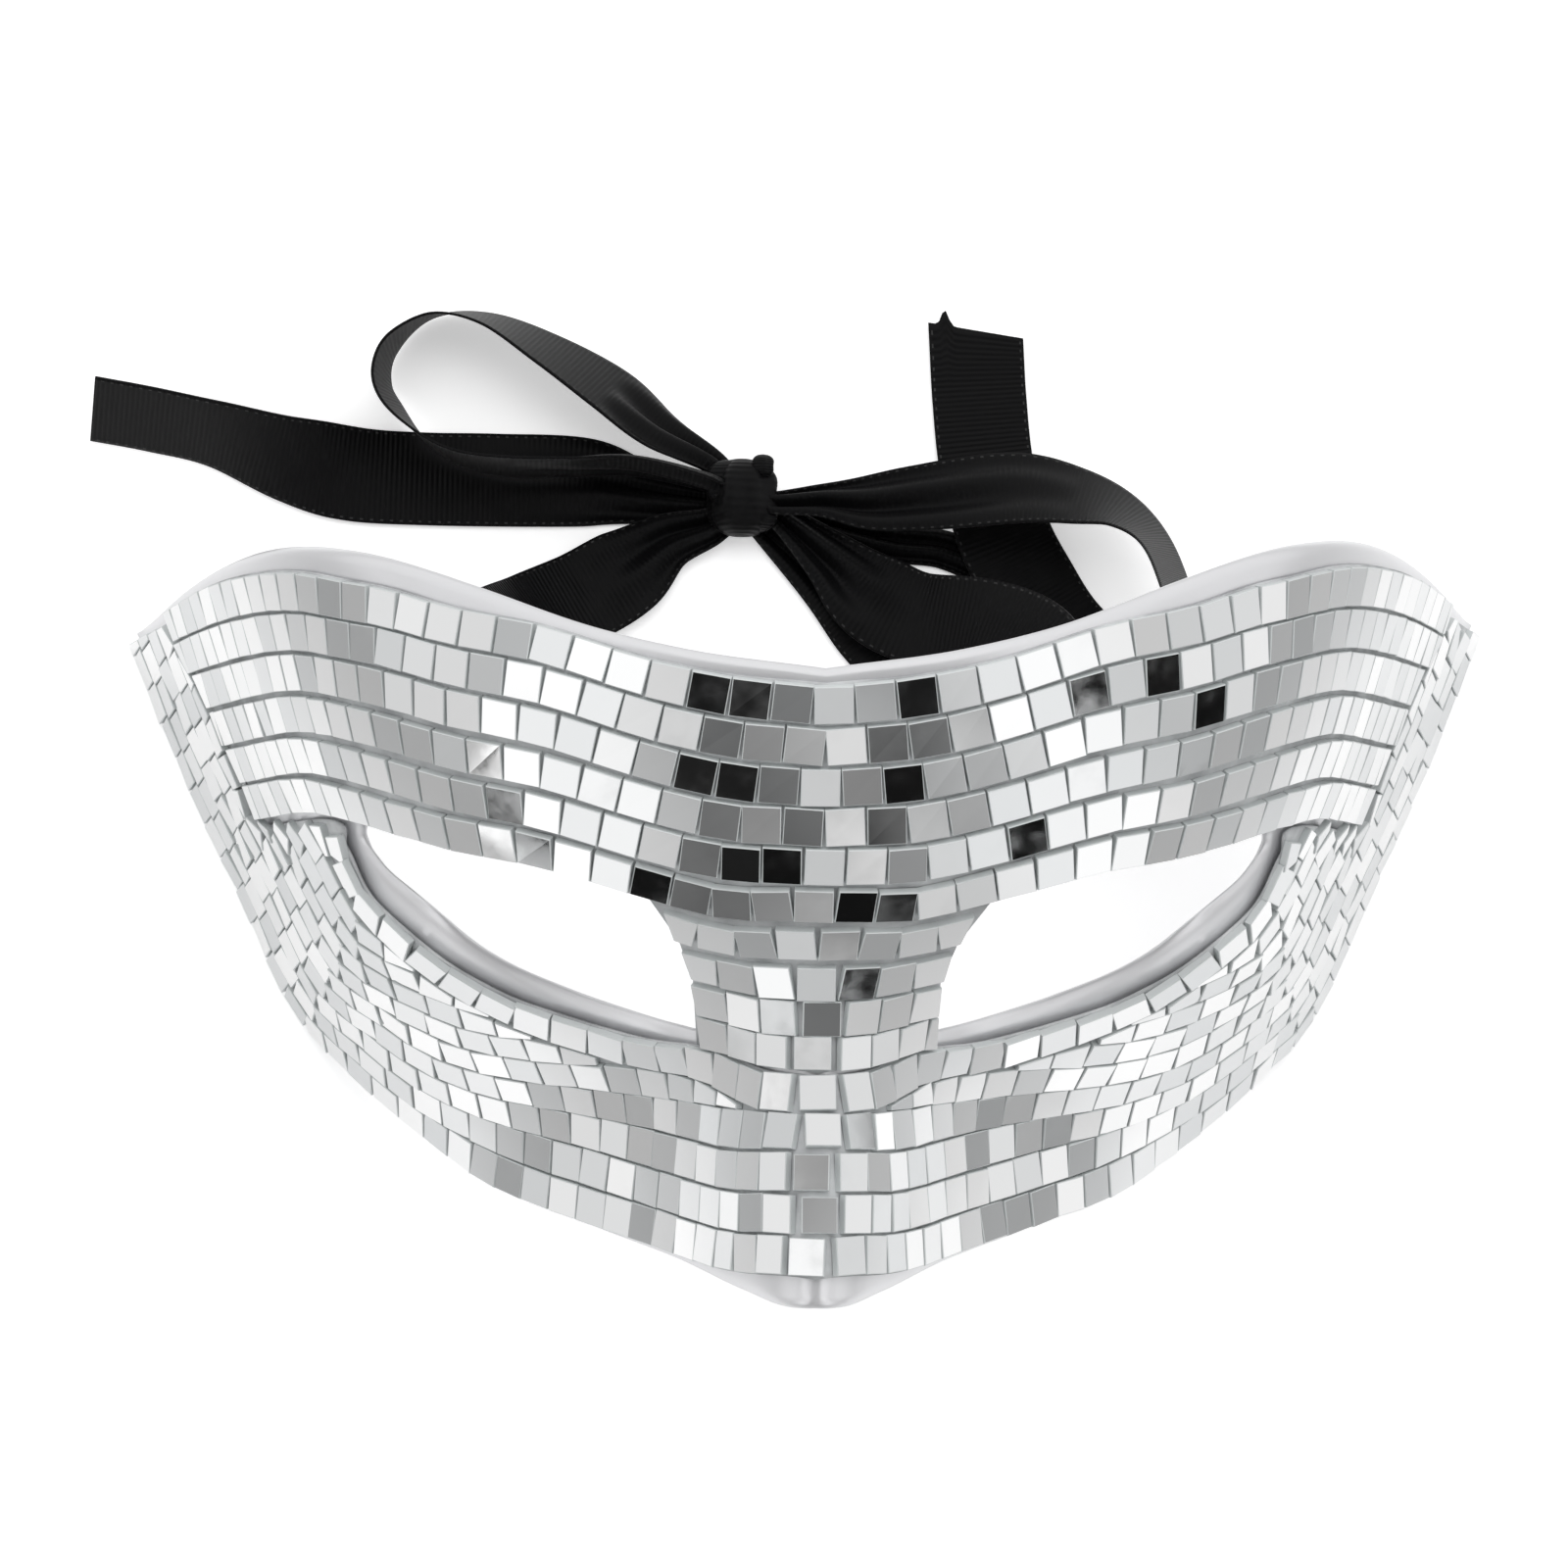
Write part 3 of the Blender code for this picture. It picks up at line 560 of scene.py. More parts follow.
def backing_mesh(name, lines, node):
    """The woven backing under a field: a thin closed sheet over plan lines that run from left to right."""
    plan = np.array(lines)
    top = on_face(plan[..., 0], plan[..., 1], -BACKING_THICK)
    under = on_face(plan[..., 0], plan[..., 1], BACKING_THICK / 4)
    loop = np.concatenate([top, under[::-1], top[:1]])
    obj = add_mesh(name, placed(loop.reshape(-1, 3)), grid_quads(*loop.shape[:2]), [backing], merge=WELD)
    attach(obj, "root")
    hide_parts(node)
    return obj


def both_sides(x, y):
    """A plan line from left to right, from its right half that starts at the middle."""
    half = np.stack([x, y], axis=-1)
    return np.concatenate([half[:0:-1] * [-1, 1], half])


# Six rows run over the brow from temple to temple, and four short ones fill the bridge between the eyes. They
# end at the cheek field: its first four places run down the temple, and its last four along the bridge's foot
fine = np.linspace(0, 1, LINE_POINTS)
spread = fine * HALF_WIDTH
field_top = -curve(BROW_FIELD, 1, fine) * LENGTH
field_lid = -curve(BROW_FIELD, 2, fine) * LENGTH
temple_line = np.array([row[2:] for row in CHEEK_FIELD[:4]]) * [HALF_WIDTH, -LENGTH]
bridge_line = np.array(BRIDGE_SIDE) * [-LENGTH, HALF_WIDTH]
bridge_foot = np.array([row[2:] for row in CHEEK_FIELD[:-5:-1]]) * [HALF_WIDTH, -LENGTH]
bridge_foot = np.interp(spread, *bridge_foot.T) + FIELD_GAP
brow_lines = []
for share in BROW_ROWS:
    y = field_top + (field_lid - field_top) * share
    past = spread - np.interp(-y, -temple_line[:, 1], temple_line[:, 0]) + FIELD_GAP
    end = spread[np.argmax(past > 0)] if (past > 0).any() else spread[-1]
    brow_lines.append(both_sides(fine * end, np.interp(fine * end, spread, y)))
bridge_lines = []
for share in BRIDGE_ROWS:
    y = field_lid + (bridge_foot - field_lid) * share
    end = spread[np.argmax(spread - np.interp(-y, -bridge_line[:, 0], bridge_line[:, 1]) > 0)]
    bridge_lines.append(both_sides(fine * end, np.interp(fine * end, spread, y)))
rows = [*zip(brow_lines[1:], brow_lines), *zip(bridge_lines[1:], bridge_lines)]
brow_tiles = [lay_row(lower, upper, phase) for (lower, upper), phase in zip(rows, BROW_PHASE)]
tile_mesh("brow_tiles", np.concatenate(brow_tiles), "mirror_tiles_brow", BROW_TILT)
backing_mesh("brow_backing", brow_lines, "mirror_tiles_brow")
backing_mesh("bridge_backing", bridge_lines, "mirror_tiles_brow")

# The cheek rows follow the rear and jaw edge round under the nose. One more row runs along the lower edge of
# one eye, over the nose and along the other, and the rows below are cut to meet it
jaw, inner_edge = paired(CHEEK_FIELD, CHEEK_SECTIONS)
step = np.linspace(0, 1, SECTION_POINTS)
section = jaw[:, None] * (1 - step[:, None]) + inner_edge[:, None] * step[:, None]
section_walk = np.linalg.norm(np.diff(on_face(section[..., 0], section[..., 1]), axis=1), axis=-1)
section_walk = np.pad(np.cumsum(section_walk, axis=1), ((0, 0), (1, 0)))
section_length = section_walk[:, -1]
beside_eye = np.interp(-inner_edge[:, 1] / LENGTH, EYE_ROW_STARTS, (0, 1))


def at_distance(distance):
    """Plan line at these distances from the jaw edge, measured on the face form, from left to right."""
    over = (section_walk < distance[:, None]).sum(axis=1).clip(1, len(step) - 1)
    each = np.arange(len(jaw))
    before, after = section_walk[each, over - 1], section_walk[each, over]
    share = step[over - 1] + (step[1] - step[0]) * np.clip((distance - before) / (after - before), 0, 1)
    place = jaw * (1 - share[:, None]) + inner_edge * share[:, None]
    return both_sides(place[::-1, 0], place[::-1, 1])


cheek_tiles = []
room = section_length - ROW_PITCH * beside_eye
for number, phase in enumerate(CHEEK_PHASE):
    near = REAR_MARGIN + number * ROW_PITCH
    lower, upper = (at_distance(np.minimum(near + extra, room)) for extra in (0, ROW_PITCH))
    cheek_tiles.append(lay_row(lower, upper, phase))
by_eye = int((beside_eye > 0.9).sum())
over_nose = slice(len(jaw) - by_eye, len(jaw) - 1 + by_eye)
lower, upper = (at_distance(section_length - down)[over_nose] for down in (ROW_PITCH, 0))
cheek_tiles.append(lay_row(lower, upper, EYE_ROW_PHASE))
tile_mesh("cheek_tiles", np.concatenate(cheek_tiles), "mirror_tiles_cheeks", CHEEK_TILT)
backing_lines = [
    at_distance(REAR_MARGIN + (section_length - REAR_MARGIN) * share)
    for share in np.linspace(0, 1, BACKING_LINES)
]
backing_mesh("cheek_backing", backing_lines, "mirror_tiles_cheeks")


# The ribbons are 13 mm black satin, woven with fine cross ribs and a picot stitch along both edges. Two are
# glued inside the shell and tied behind it: a loop and a tail go to each side of the knot, and each stretch
# starts inside the knot.
RIBBON_WIDTH = 0.013
RIBBON_THICK = 0.00035
CAD_RIBBON_THICK = 0.0009
FLOOR_GAP = 0.0003
TABLE_GAP = 0.00005
SEAT_GAP = 0.0004
SEAT_SAG = RIBBON_WIDTH / 12
SEAT_SINK = SHELL_UNDER_SINK + CAD_RIBBON_THICK / 2 + SEAT_GAP + SEAT_SAG
LOOP_REACH = 0.05
TAIL_REACH = 0.089
RAGGED_TAIL_REACH = 0.05
TIE_SEAT_ACROSS = 0.0545
TIE_SEAT_LEFT = 0.031
TIE_SEAT_RIGHT = 0.0375
PLEATS = 2
DEEPEST_PLEAT = 0.0013
# The ragged end: how far its cut slopes, then a spike's place and half width (of the ribbon's width) and its
# height (of the slope)
FRAY = 0.0028
SPIKE_AT = 0.82
SPIKE_HALF = 0.05
SPIKE_HEIGHT = 0.8

# Ribbon routes from the knot. Columns: along and aside (of the piece's reach, from the knot's middle), lift
# of the lower edge (of RIBBON_WIDTH), roll in degrees, width (of RIBBON_WIDTH)
LOOP_LEFT = [
    (-0.010, 0.020, 0.20, 48, 0.25),
    (-0.078, 0.096, 0.16, 48, 0.40),
    (-0.230, 0.180, 0.14, 46, 0.75),
    (-0.360, 0.285, 0.10, 50, 1.00),
    (-0.530, 0.395, 0.06, 58, 1.00),
    (-0.700, 0.480, 0.03, 70, 1.00),
    (-0.850, 0.490, 0.00, 80, 1.00),
    (-0.960, 0.410, 0.00, 92, 1.00),
    (-0.990, 0.320, 0.00, 100, 1.00),
    (-0.960, 0.235, 0.10, 104, 1.00),
    (-0.880, 0.140, 0.20, 98, 1.00),
    (-0.780, 0.085, 0.14, 94, 1.00),
    (-0.640, 0.060, 0.14, 90, 1.00),
    (-0.470, 0.062, 0.14, 90, 0.95),
    (-0.300, 0.072, 0.14, 90, 0.80),
    (-0.102, 0.037, 0.14, 90, 0.55),
    (-0.010, 0.000, 0.14, 90, 0.35),
]
TAIL_LEFT = [
    (0.000, 0.000, 0.00, 0, 0.30),
    (-0.046, 0.002, 0.00, 0, 0.45),
    (-0.150, 0.014, 0.00, 0, 0.66),
    (-0.240, 0.030, 0.00, 0, 0.95),
    (-0.380, 0.032, 0.00, 0, 1.00),
    (-0.500, 0.033, 0.00, 0, 1.00),
    (-0.600, 0.037, 0.00, -8, 1.00),
    (-0.700, 0.052, 0.00, -38, 1.00),
    (-0.810, 0.086, 0.00, -58, 1.00),
    (-0.910, 0.108, 0.00, -60, 1.00),
    (-1.000, 0.124, 0.00, -60, 1.00),
]
TAIL_RIGHT = [
    (0.020, -0.010, 0.22, 0, 0.20),
    (0.104, -0.046, 0.22, 0, 0.28),
    (0.240, -0.160, 0.22, 0, 0.60),
    (0.350, -0.260, 0.22, 0, 0.95),
    (0.480, -0.328, 0.24, 0, 1.00),
    (0.660, -0.370, 0.66, 4, 1.00),
    (0.800, -0.450, 0.95, 30, 1.00),
    (0.900, -0.580, 1.20, 70, 1.00),
    (1.010, -0.700, 1.30, 90, 1.00),
    (1.140, -0.740, 1.30, 90, 1.00),
    (1.210, -0.650, 1.20, 90, 1.00),
    (1.130, -0.550, 0.90, 80, 1.00),
    (1.000, -0.470, 0.30, 35, 1.00),
    (0.880, -0.360, 0.13, 4, 1.00),
    (0.790, -0.220, 0.13, 0, 1.00),
    (0.720, -0.080, 0.12, 0, 1.00),
    (0.675, 0.110, 0.02, 0, 1.00),
    (0.655, 0.300, 0.00, 0, 1.00),
    (0.645, 0.480, 0.00, 0, 1.00),
]
LOOP_RIGHT = [
    (0.010, -0.010, 0.00, 0, 0.25),
    (0.062, -0.060, 0.00, 0, 0.34),
    (0.240, -0.200, 0.00, 0, 0.75),
    (0.356, -0.310, 0.00, 0, 1.00),
    (0.460, -0.440, 0.00, 2, 1.00),
    (0.540, -0.590, 0.00, 34, 1.00),
    (0.650, -0.710, 0.00, 88, 1.00),
    (0.780, -0.690, 0.00, 90, 0.95),
    (0.850, -0.590, 0.00, 50, 0.70),
    (0.840, -0.460, 0.00, 8, 0.50),
    (0.780, -0.310, 0.00, 0, 0.45),
    (0.690, -0.190, 0.00, 0, 0.42),
    (0.560, -0.125, 0.00, 0, 0.40),
    (0.420, -0.110, 0.00, 0, 0.38),
    (0.280, -0.082, 0.10, 0, 0.32),
    (0.112, -0.028, 0.10, 0, 0.20),
    (0.020, -0.005, 0.10, 0, 0.15),
]
# The ties climb from the knot to a seat inside the shell. Columns: share of the way across and forward from
# knot to seat, height above the floor (of the seat's height), roll in degrees, width (of RIBBON_WIDTH)
TIE_LEFT = [
    (0.020, 0.020, 0.030, 0, 0.30),
    (0.100, 0.078, 0.024, 0, 0.40),
    (0.240, 0.125, 0.020, 0, 0.62),
    (0.370, 0.215, 0.025, 0, 0.95),
    (0.520, 0.300, 0.035, 0, 1.00),
    (0.670, 0.385, 0.130, 4, 1.00),
    (0.830, 0.520, 0.420, 25, 1.00),
    (0.950, 0.720, 0.780, 50, 1.00),
    (1.000, 0.880, 0.960, 62, 1.00),
    (1.000, 1.000, 1.000, 66, 1.00),
]
TIE_RIGHT = [
    (0.010, 0.000, 0.050, -20, 0.20),
    (0.078, 0.020, 0.088, -20, 0.28),
    (0.180, 0.016, 0.100, -14, 0.38),
    (0.290, 0.020, 0.100, -10, 0.62),
    (0.410, 0.006, 0.105, -12, 0.76),
    (0.620, -0.015, 0.130, -28, 0.96),
    (0.760, 0.010, 0.150, -42, 1.00),
    (0.860, 0.060, 0.190, -55, 1.00),
    (0.930, 0.160, 0.270, -64, 1.00),
    (0.965, 0.330, 0.440, -66, 1.00),
    (0.985, 0.600, 0.760, -64, 1.00),
    (1.000, 0.850, 0.950, -64, 1.00),
    (1.000, 1.000, 1.000, -66, 1.00),
]


def mixed(tree, factor, low, high):
    """Colours mixed by a factor; low and high are hex colours or other nodes' outputs."""
    node = add_node(tree, "Mix", {"data_type": "RGBA"}, {"Factor": factor})
    for socket, colour in ((node.inputs[6], low), (node.inputs[7], high)):
        if isinstance(colour, str):
            socket.default_value = linear(colour)
        else:
            tree.links.new(colour, socket)
    return node.outputs[2]


def maths(tree, operation, *values):
    """The result of a Math node."""
    return add_node(tree, "Math", {"operation": operation}, dict(enumerate(values))).outputs[0]


# Black woven satin: low sheen off the ribs, and dark grey picot stitches. The UV layer holds the place in the
# flat ribbon, in millimetres across and along it
satin, tree, shader = new_material("black woven satin")
RIB_PITCH_MM = 0.7
STITCH_PITCH_MM = 1.3
STITCH_INSET_MM = 0.45
STITCH_HALF_MM = 0.11
RIB_DEPTH = 0.00012
HALF_WIDTH_MM = RIBBON_WIDTH * 500
shader.inputs["Roughness"].default_value = 0.46
shader.inputs["Specular IOR Level"].default_value = 0.14
shader.inputs["Sheen Weight"].default_value = 0.03
shader.inputs["Sheen Roughness"].default_value = 0.4
weave_uv = add_node(tree, "UVMap", {"uv_map": "cloth"}).outputs["UV"]
weave_mm = add_node(tree, "SeparateXYZ", inputs={"Vector": weave_uv})
rib_turn = maths(tree, "MULTIPLY", weave_mm.outputs["Y"], 2 * np.pi / RIB_PITCH_MM)
slub = add_node(tree, "TexNoise", inputs={"Vector": weave_uv, "Scale": 0.35, "Detail": 4.0})
rib_height = maths(tree, "MULTIPLY", maths(tree, "SINE", rib_turn), slub.outputs["Fac"])
rib_bump = add_node(tree, "Bump", inputs={"Strength": 0.5, "Distance": RIB_DEPTH, "Height": rib_height})
tree.links.new(rib_bump.outputs["Normal"], shader.inputs["Normal"])
from_middle = maths(tree, "ABSOLUTE", maths(tree, "SUBTRACT", weave_mm.outputs["X"], HALF_WIDTH_MM))
in_edge = maths(tree, "COMPARE", from_middle, HALF_WIDTH_MM - STITCH_INSET_MM, STITCH_HALF_MM)
stitch_step = maths(tree, "PINGPONG", weave_mm.outputs["Y"], STITCH_PITCH_MM / 2)
in_stitch = maths(tree, "LESS_THAN", stitch_step, STITCH_PITCH_MM * 0.16)
thread_colour = mixed(tree, maths(tree, "MULTIPLY", in_edge, in_stitch), "#070708", "#343434")
tree.links.new(thread_colour, shader.inputs["Base Color"])


def set_cloth_uv(obj, uv):
    """Gives each vertex's place in the flat ribbon, in millimetres, to the corners of its faces."""
    layer = obj.data.uv_layers.new(name="cloth")
    corner = np.empty(len(obj.data.loops), np.int32)
    obj.data.loops.foreach_get("vertex_index", corner)
    layer.data.foreach_set("uv", uv.reshape(-1, 2)[corner].astype(np.float32).reshape(-1))


def ribbon(name, centre, roll, width, node, held="laid", ragged=0.0, steps=12, columns=27):
    """A woven strip along a route. Where it narrows towards the knot its full width is gathered in pleats.

    A point at share s of the width lies at s * width across, and at depth * sin(2 pi * PLEATS * s) off the
    strip; the depth gives the sine wave the flat ribbon's width as its length, up to DEEPEST_PLEAT.
    """
    table = np.column_stack([np.arange(len(centre)), centre, roll, width])
    at = np.linspace(0, len(centre) - 1, (len(centre) - 1) * steps + 1)
    middle = np.stack([curve(table, k, at) for k in (1, 2, 3)], axis=-1)
    turn, wide = np.radians(curve(table, 4, at)), curve(table, 5, at)
    level = unit(np.gradient(middle, axis=0)[:, :2])
    across = np.stack([-level[:, 1] * np.cos(turn), level[:, 0] * np.cos(turn), np.sin(turn)], axis=-1)
    ahead = unit(np.gradient(middle, axis=0))
    off = unit(np.cross(ahead, across))
    depth = wide / (np.pi * PLEATS) * np.sqrt(np.maximum(RIBBON_WIDTH / wide - 1, 0))
    depth = np.minimum(depth, DEEPEST_PLEAT)
    share = np.linspace(0, 1, columns)
    wave = np.sin(2 * np.pi * PLEATS * share) * np.sin(np.pi * share) ** 0.5
    grid = middle[:, None] + across[:, None] * ((share - 0.5)[None, :] * wide[:, None])[..., None]
    grid += off[:, None] * (depth[:, None] * wave[None, :])[..., None]
    if ragged:
        spike = SPIKE_HEIGHT * np.exp(-(((share - SPIKE_AT) / SPIKE_HALF) ** 2))
        fray = ragged * (share + spike - 0.25)
        late = np.clip(at - at[-1] + 1, 0, 1) ** 3
        grid += ahead[-1] * (late[:, None] * fray[None, :])[..., None]
    grid[..., 2] = np.maximum(grid[..., 2], RIBBON_THICK / 2 + TABLE_GAP)
    run = np.concatenate([[0], np.cumsum(np.linalg.norm(np.diff(middle, axis=0), axis=1))])
    obj = add_mesh(name, (grid + mask_place).reshape(-1, 3), grid_quads(*grid.shape[:2]), [satin])
    uv = np.stack(np.broadcast_arrays(share[None, :] * RIBBON_WIDTH * 1000, run[:, None] * 1000), axis=-1)
    set_cloth_uv(obj, uv)
    solid = obj.modifiers.new("Cloth thickness", "SOLIDIFY")
    solid.thickness = RIBBON_THICK
    solid.offset = 0
    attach(obj, "root")
    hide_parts(node)
    return obj


def lying_route(table, reach):
    """Route, roll and width of a ribbon that lies on the table."""
    along, aside, lift, roll, width = np.array(table).T
    width = width * RIBBON_WIDTH
    raised = np.abs(np.sin(np.radians(roll))) * width / 2 + CAD_RIBBON_THICK / 2 + FLOOR_GAP
    centre = np.stack(
        [KNOT_ACROSS + along * reach, KNOT_BEHIND + aside * reach, lift * RIBBON_WIDTH + raised], axis=-1
    )
    return centre, roll, width


def tie_route(table, seat_x, seat_y):
    """Route, roll and width of a tie, which climbs to its seat on the shell's inner face."""
    across, forward, height, roll, width = np.array(table).T
    seat = placed(on_face(seat_x, seat_y, SEAT_SINK)) - mask_place
    centre = np.stack(
        [
            KNOT_ACROSS + (seat[0] - KNOT_ACROSS) * across,
            KNOT_BEHIND + (seat[1] - KNOT_BEHIND) * forward,
            CAD_RIBBON_THICK / 2 + (seat[2] - CAD_RIBBON_THICK / 2) * height,
        ],
        axis=-1,
    )
    return centre, roll, width * RIBBON_WIDTH


ribbon("left_loop", *lying_route(LOOP_LEFT, LOOP_REACH), "bow_loop_left")
ribbon("right_loop", *lying_route(LOOP_RIGHT, LOOP_REACH), "bow_loop_right")
ribbon("left_tail", *lying_route(TAIL_LEFT, TAIL_REACH), "ribbon_tail_left")
ribbon("frayed_tail", *lying_route(TAIL_RIGHT, RAGGED_TAIL_REACH), "ribbon_tail_right", ragged=FRAY)
ribbon("left_tie", *tie_route(TIE_LEFT, -TIE_SEAT_ACROSS, -TIE_SEAT_LEFT), "ribbon_tie_left")
ribbon("right_tie", *tie_route(TIE_RIGHT, TIE_SEAT_ACROSS, -TIE_SEAT_RIGHT), "ribbon_tie_right")


# The knot is the two ribbons pulled tight over each other: a lump of gathered satin with creases that run
# front to back, and smaller folds beside it, one of which stands up on its far side.
LUMP = 0.94
CREASES = 4
CREASE_TWIST = 1.6
FOLD_CREASES = 3
FOLD_TWIST = 0.9
CREASE_DEPTH = 0.10
WAIST_DEPTH = 0.12
WAIST_SPREAD = 0.35
SQUARENESS = 0.86
# Millimetres of ribbon to a radian round the knot and along it, and where it starts across the ribbon
WRAP_MM = 2.2
ALONG_MM = 3.5
WRAP_START_MM = 2
# The folds beside the main lump: size and place, both as shares of the knot's size from its middle
FOLDS = [
    ((0.30, 0.30, 0.46), (0.27, 0.35, 0.18)),
    ((0.60, 0.56, 0.60), (-0.17, 0.16, 0.10)),
    ((0.52, 0.50, 0.52), (0.22, -0.17, 0.08)),
]


def knot_lump(size, centre, creases, twist, rings=48, columns=96):
    """A squared ellipsoid with its poles on Y, rippled round them, with a slight waist at its middle.

    Squared means that each sine and cosine of the ellipsoid is raised to SQUARENESS, keeping its sign. The
    ripple is the sine of creases * turn + twist * cos(polar), plus half a sine of twice as many creases.
    """
    polar = np.linspace(0, np.pi, rings)[:, None]
    turn = np.linspace(0, 2 * np.pi, columns)[None, :]
    ripple = np.sin(creases * turn + twist * np.cos(polar)) + 0.5 * np.sin(2 * creases * turn - 1.3)
    radius = np.abs(np.sin(polar)) ** SQUARENESS * (1 + CREASE_DEPTH * ripple * np.sin(polar))
    waist = 1 - WAIST_DEPTH * np.exp(-((np.cos(polar) / WAIST_SPREAD) ** 2))
    east, north = (np.sign(part) * np.abs(part) ** SQUARENESS for part in (np.cos(turn), np.sin(turn)))
    ends = np.sign(np.cos(polar)) * np.abs(np.cos(polar)) ** SQUARENESS + 0 * turn
    lump = np.stack([radius * waist * east, ends, radius * north], axis=-1)
    lump[:, -1] = lump[:, 0]
    uv = np.stack(np.broadcast_arrays(turn * WRAP_MM + WRAP_START_MM, polar * ALONG_MM), axis=-1)
    return lump * size / 2 + centre, uv


knot_size = np.array(knot_high) - np.array(knot_low)
knot_middle = (np.array(knot_high) + np.array(knot_low)) / 2
lumps = [knot_lump(knot_size * LUMP, knot_middle, CREASES, CREASE_TWIST)]
for size, place in FOLDS:
    lumps.append(knot_lump(knot_size * size, knot_middle + knot_size * place, FOLD_CREASES, FOLD_TWIST))
lump_points = len(lumps[0][0].reshape(-1, 3))
quads = [
    grid_quads(*points.shape[:2], first=number * lump_points, flip=True)
    for number, (points, _) in enumerate(lumps)
]
points = np.concatenate([points.reshape(-1, 3) for points, _ in lumps])
knot = add_mesh("knot", points, np.concatenate(quads), [satin])
set_cloth_uv(knot, np.concatenate([uv.reshape(-1, 2) for _, uv in lumps]))
weld(knot.data, WELD)
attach(knot, "root")
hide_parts("bow_knot")


# A white table sheet whose glow is painted light, which washes out the shadows the mask casts on it. To the
# camera it is white all over, with SHADOW_FILL of painted light added to its glow to fill those shadows; what
# the mirrors see of it fades to grey with distance from the mask, painted shade that stands in for light
# falling off
TABLE_SIZE = 0.8
PAINTED_FALLOFF_MIDDLE = (0, -0.03, 0)
PAINTED_FALLOFF_HALF = 0.108
PAINTED_FALLOFF_WIDTH = 0.16
PAINTED_GLOW_STRENGTH = 0.20
SHADOW_FILL = 0.25
TABLE_WHITE = "#f8f8f8"
# Painted shade: the greys the sheet fades to stand in for light falling off away from the mask
PAINTED_FALLOFF_STOPS = [(0.0, TABLE_WHITE), (0.22, "#d2d2d2"), (0.55, "#b6b6b6"), (1.0, "#a6a6a6")]
painted_glow_sheet, tree, shader = new_material("white sheet with painted glow and painted falloff")
shader.inputs["Roughness"].default_value = 0.8
place = add_node(tree, "TexCoord").outputs["Object"]
painted_falloff_middle = (mask_place + PAINTED_FALLOFF_MIDDLE).tolist()
from_mask = add_node(tree, "VectorMath", {"operation": "SUBTRACT"}, {0: place, 1: painted_falloff_middle})
from_mask = add_node(tree, "VectorMath", {"operation": "ABSOLUTE"}, {0: from_mask.outputs[0]})
from_mask = add_node(tree, "SeparateXYZ", inputs={"Vector": from_mask.outputs[0]})
farthest = maths(tree, "MAXIMUM", from_mask.outputs["X"], from_mask.outputs["Y"])
fade_range = {"From Min": PAINTED_FALLOFF_HALF, "From Max": PAINTED_FALLOFF_HALF + PAINTED_FALLOFF_WIDTH}
fade = add_node(tree, "MapRange", inputs={"Value": farthest, **fade_range})
seen = add_node(tree, "LightPath").outputs["Is Camera Ray"]
sheet_colour = mixed(tree, seen, colour_ramp(tree, fade.outputs["Result"], PAINTED_FALLOFF_STOPS), TABLE_WHITE)
for socket in ("Base Color", "Emission Color"):
    tree.links.new(sheet_colour, shader.inputs[socket])
# Painted light: the sheet glows a little for every ray and more for the camera, washing out the mask's
# shadows
glow = maths(tree, "MULTIPLY_ADD", seen, SHADOW_FILL, PAINTED_GLOW_STRENGTH)
tree.links.new(glow, shader.inputs["Emission Strength"])
corners = np.array([(-1, -1, 0), (1, -1, 0), (1, 1, 0), (-1, 1, 0)]) * TABLE_SIZE / 2
table = add_mesh("table", corners, np.array([(0, 1, 2, 3)]), [painted_glow_sheet], smooth=False)

# The studio as the mirrors see it. In front, straight ahead: the dim camera side, with black, grey and pale
# things in it; to either side of it a white soft box, then the grey wall. Behind: a pale wall. The camera
# itself sees one plain pale ground
world = bpy.data.worlds.new("white studio")
bpy.context.scene.world = world
world.use_nodes = True
tree = world.node_tree
tree.nodes.clear()
STUDIO_STRENGTH = 1.15
FRONT_EDGE = 0.12
AHEAD_ENDS = (0.30, 0.40)
CLUTTER_SCALE = 6.5
WAVER_SCALE = 3.0
WAVER = 0.14
DARK_SHARE = 0.405
RARER_SIDEWAYS = 0.08
ROOM = [
    (0.00, "#9a9a9a"),
    (0.32, "#969696"),
    (0.38, "#cccccc"),
    (0.44, "#ffffff"),
    (0.70, "#ffffff"),
    (0.78, "#f0f0f0"),
    (0.84, "#bcbcbc"),
    (0.90, "#d4d4d4"),
    (1.00, "#e8e8e8"),
]
CLUTTER = [
    (0.00, "#161616"),
    (0.440, "#1e1e1e"),
    (0.460, "#666666"),
    (0.530, "#8a8a8a"),
    (0.560, "#9c9c9c"),
    (0.600, "#d4d4d4"),
]

look = add_node(tree, "TexCoord").outputs["Generated"]
way = add_node(tree, "SeparateXYZ", inputs={"Vector": look})
waver = add_node(tree, "TexNoise", inputs={"Vector": look, "Scale": WAVER_SCALE, "Detail": 1.0})
waver = maths(tree, "MULTIPLY_ADD", waver.outputs["Fac"], WAVER, -WAVER / 2)
sideways = maths(tree, "ADD", maths(tree, "ABSOLUTE", way.outputs["X"]), waver)
clutter = add_node(tree, "TexNoise", inputs={"Vector": look, "Scale": CLUTTER_SCALE, "Detail": 1.0})
ahead_range = {"From Min": AHEAD_ENDS[0], "From Max": AHEAD_ENDS[1], "To Min": 1.0, "To Max": 0.0}
ahead_zone = add_node(tree, "MapRange", inputs={"Value": sideways, **ahead_range})
wall_colour = colour_ramp(tree, sideways, ROOM)
clutter_colour = colour_ramp(tree, clutter.outputs["Fac"], CLUTTER)
front_wall = mixed(tree, ahead_zone.outputs["Result"], wall_colour, clutter_colour)
rarer = maths(tree, "MULTIPLY_ADD", sideways, RARER_SIDEWAYS, clutter.outputs["Fac"])
front_wall = mixed(tree, maths(tree, "LESS_THAN", rarer, DARK_SHARE), front_wall, "#141414")
front = maths(tree, "LESS_THAN", way.outputs["Y"], FRONT_EDGE)
room = mixed(tree, front, "#e2e2e2", front_wall)
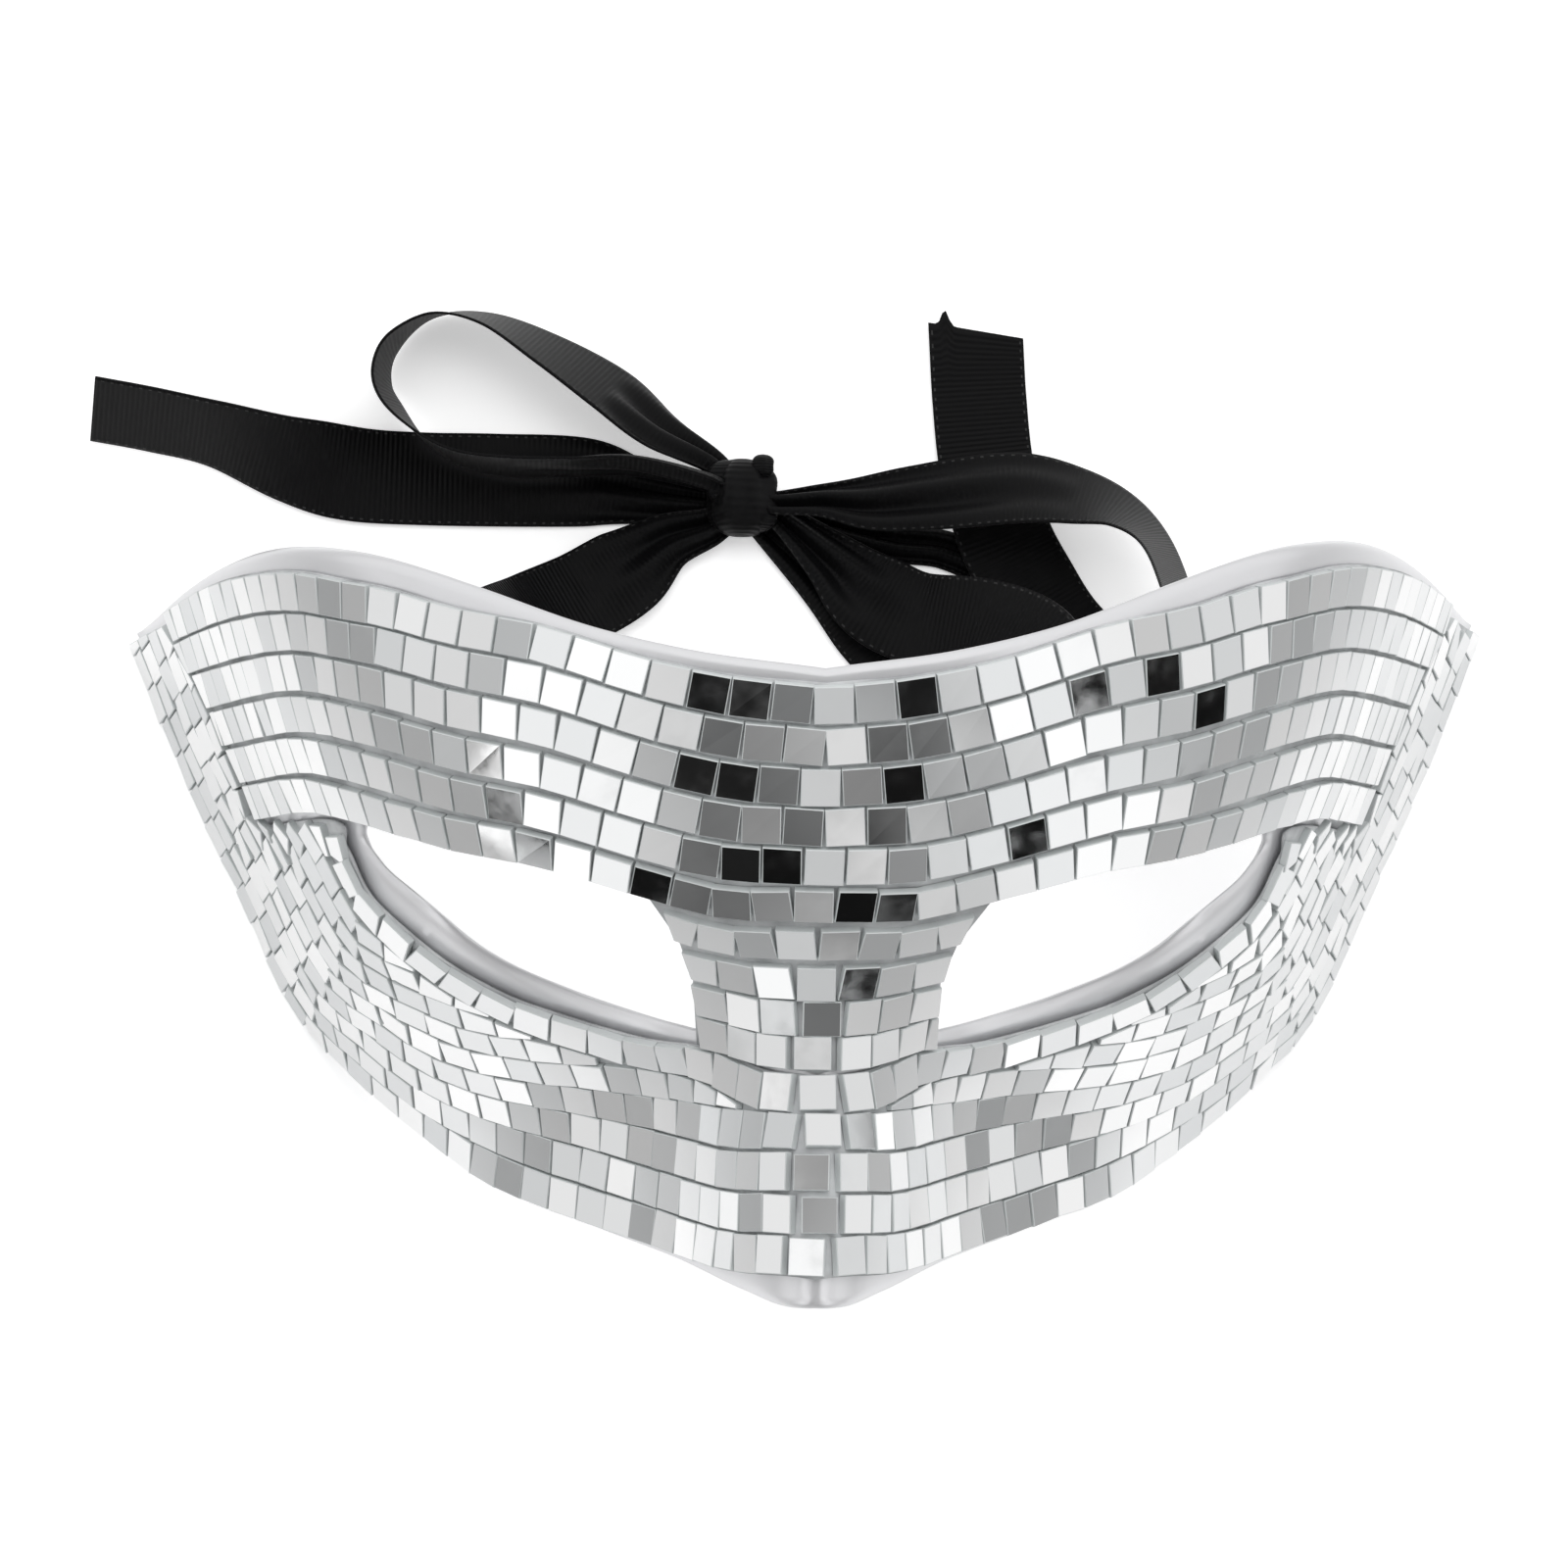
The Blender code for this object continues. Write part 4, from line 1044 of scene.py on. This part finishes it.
room = mixed(tree, add_node(tree, "LightPath").outputs["Is Camera Ray"], room, "#f2f2f2")
glow = add_node(tree, "Background", inputs={"Color": room, "Strength": STUDIO_STRENGTH})
add_node(tree, "OutputWorld", inputs={"Surface": glow.outputs[0]})

# An overhead soft box lights the ribbons and the table; the mirrors don't show it
SOFT_BOX = 0.9
SOFT_BOX_WATTS = 6
SOFT_BOX_PLACE = (0.1, 0.5, 1.3)
SOFT_BOX_TILT = (-0.36, 0.08, 0)
soft_box = bpy.data.lights.new("overhead soft box", "AREA")
soft_box.shape = "SQUARE"
soft_box.size = SOFT_BOX
soft_box.energy = SOFT_BOX_WATTS
soft_light = bpy.data.objects.new("overhead soft box", soft_box)
soft_light.location = SOFT_BOX_PLACE
soft_light.rotation_euler = SOFT_BOX_TILT
soft_light.visible_glossy = False
bpy.context.scene.collection.objects.link(soft_light)

# The camera looks down on the mask from 80 degrees, as the photograph does
CAMERA_ELEVATION = np.radians(80)
CAMERA_DISTANCE = 1.16
CAMERA_SWING = -0.022
CAMERA_ROLL = np.radians(0.6)
CAMERA_TARGET = np.array([-0.004, -0.0307, 0.052])
SENSOR = 36
LENS = 203.4
back = unit(np.array([CAMERA_SWING, -np.cos(CAMERA_ELEVATION), np.sin(CAMERA_ELEVATION)]))
level_right = unit(np.array([1.0, 0, 0]) - back[0] * back)
level_up = np.cross(back, level_right)
right = np.cos(CAMERA_ROLL) * level_right + np.sin(CAMERA_ROLL) * level_up
up = np.cos(CAMERA_ROLL) * level_up - np.sin(CAMERA_ROLL) * level_right
camera_data = bpy.data.cameras.new("camera")
camera_data.sensor_width = SENSOR
camera_data.lens = LENS
camera = bpy.data.objects.new("camera", camera_data)
stand = CAMERA_TARGET + mask_place + CAMERA_DISTANCE * back
matrix = np.eye(4)
matrix[:3, 0], matrix[:3, 1], matrix[:3, 2], matrix[:3, 3] = right, up, back, stand
camera.matrix_world = Matrix(matrix.tolist())
bpy.context.scene.collection.objects.link(camera)
bpy.context.scene.camera = camera
bpy.context.scene.view_settings.view_transform = "Standard"
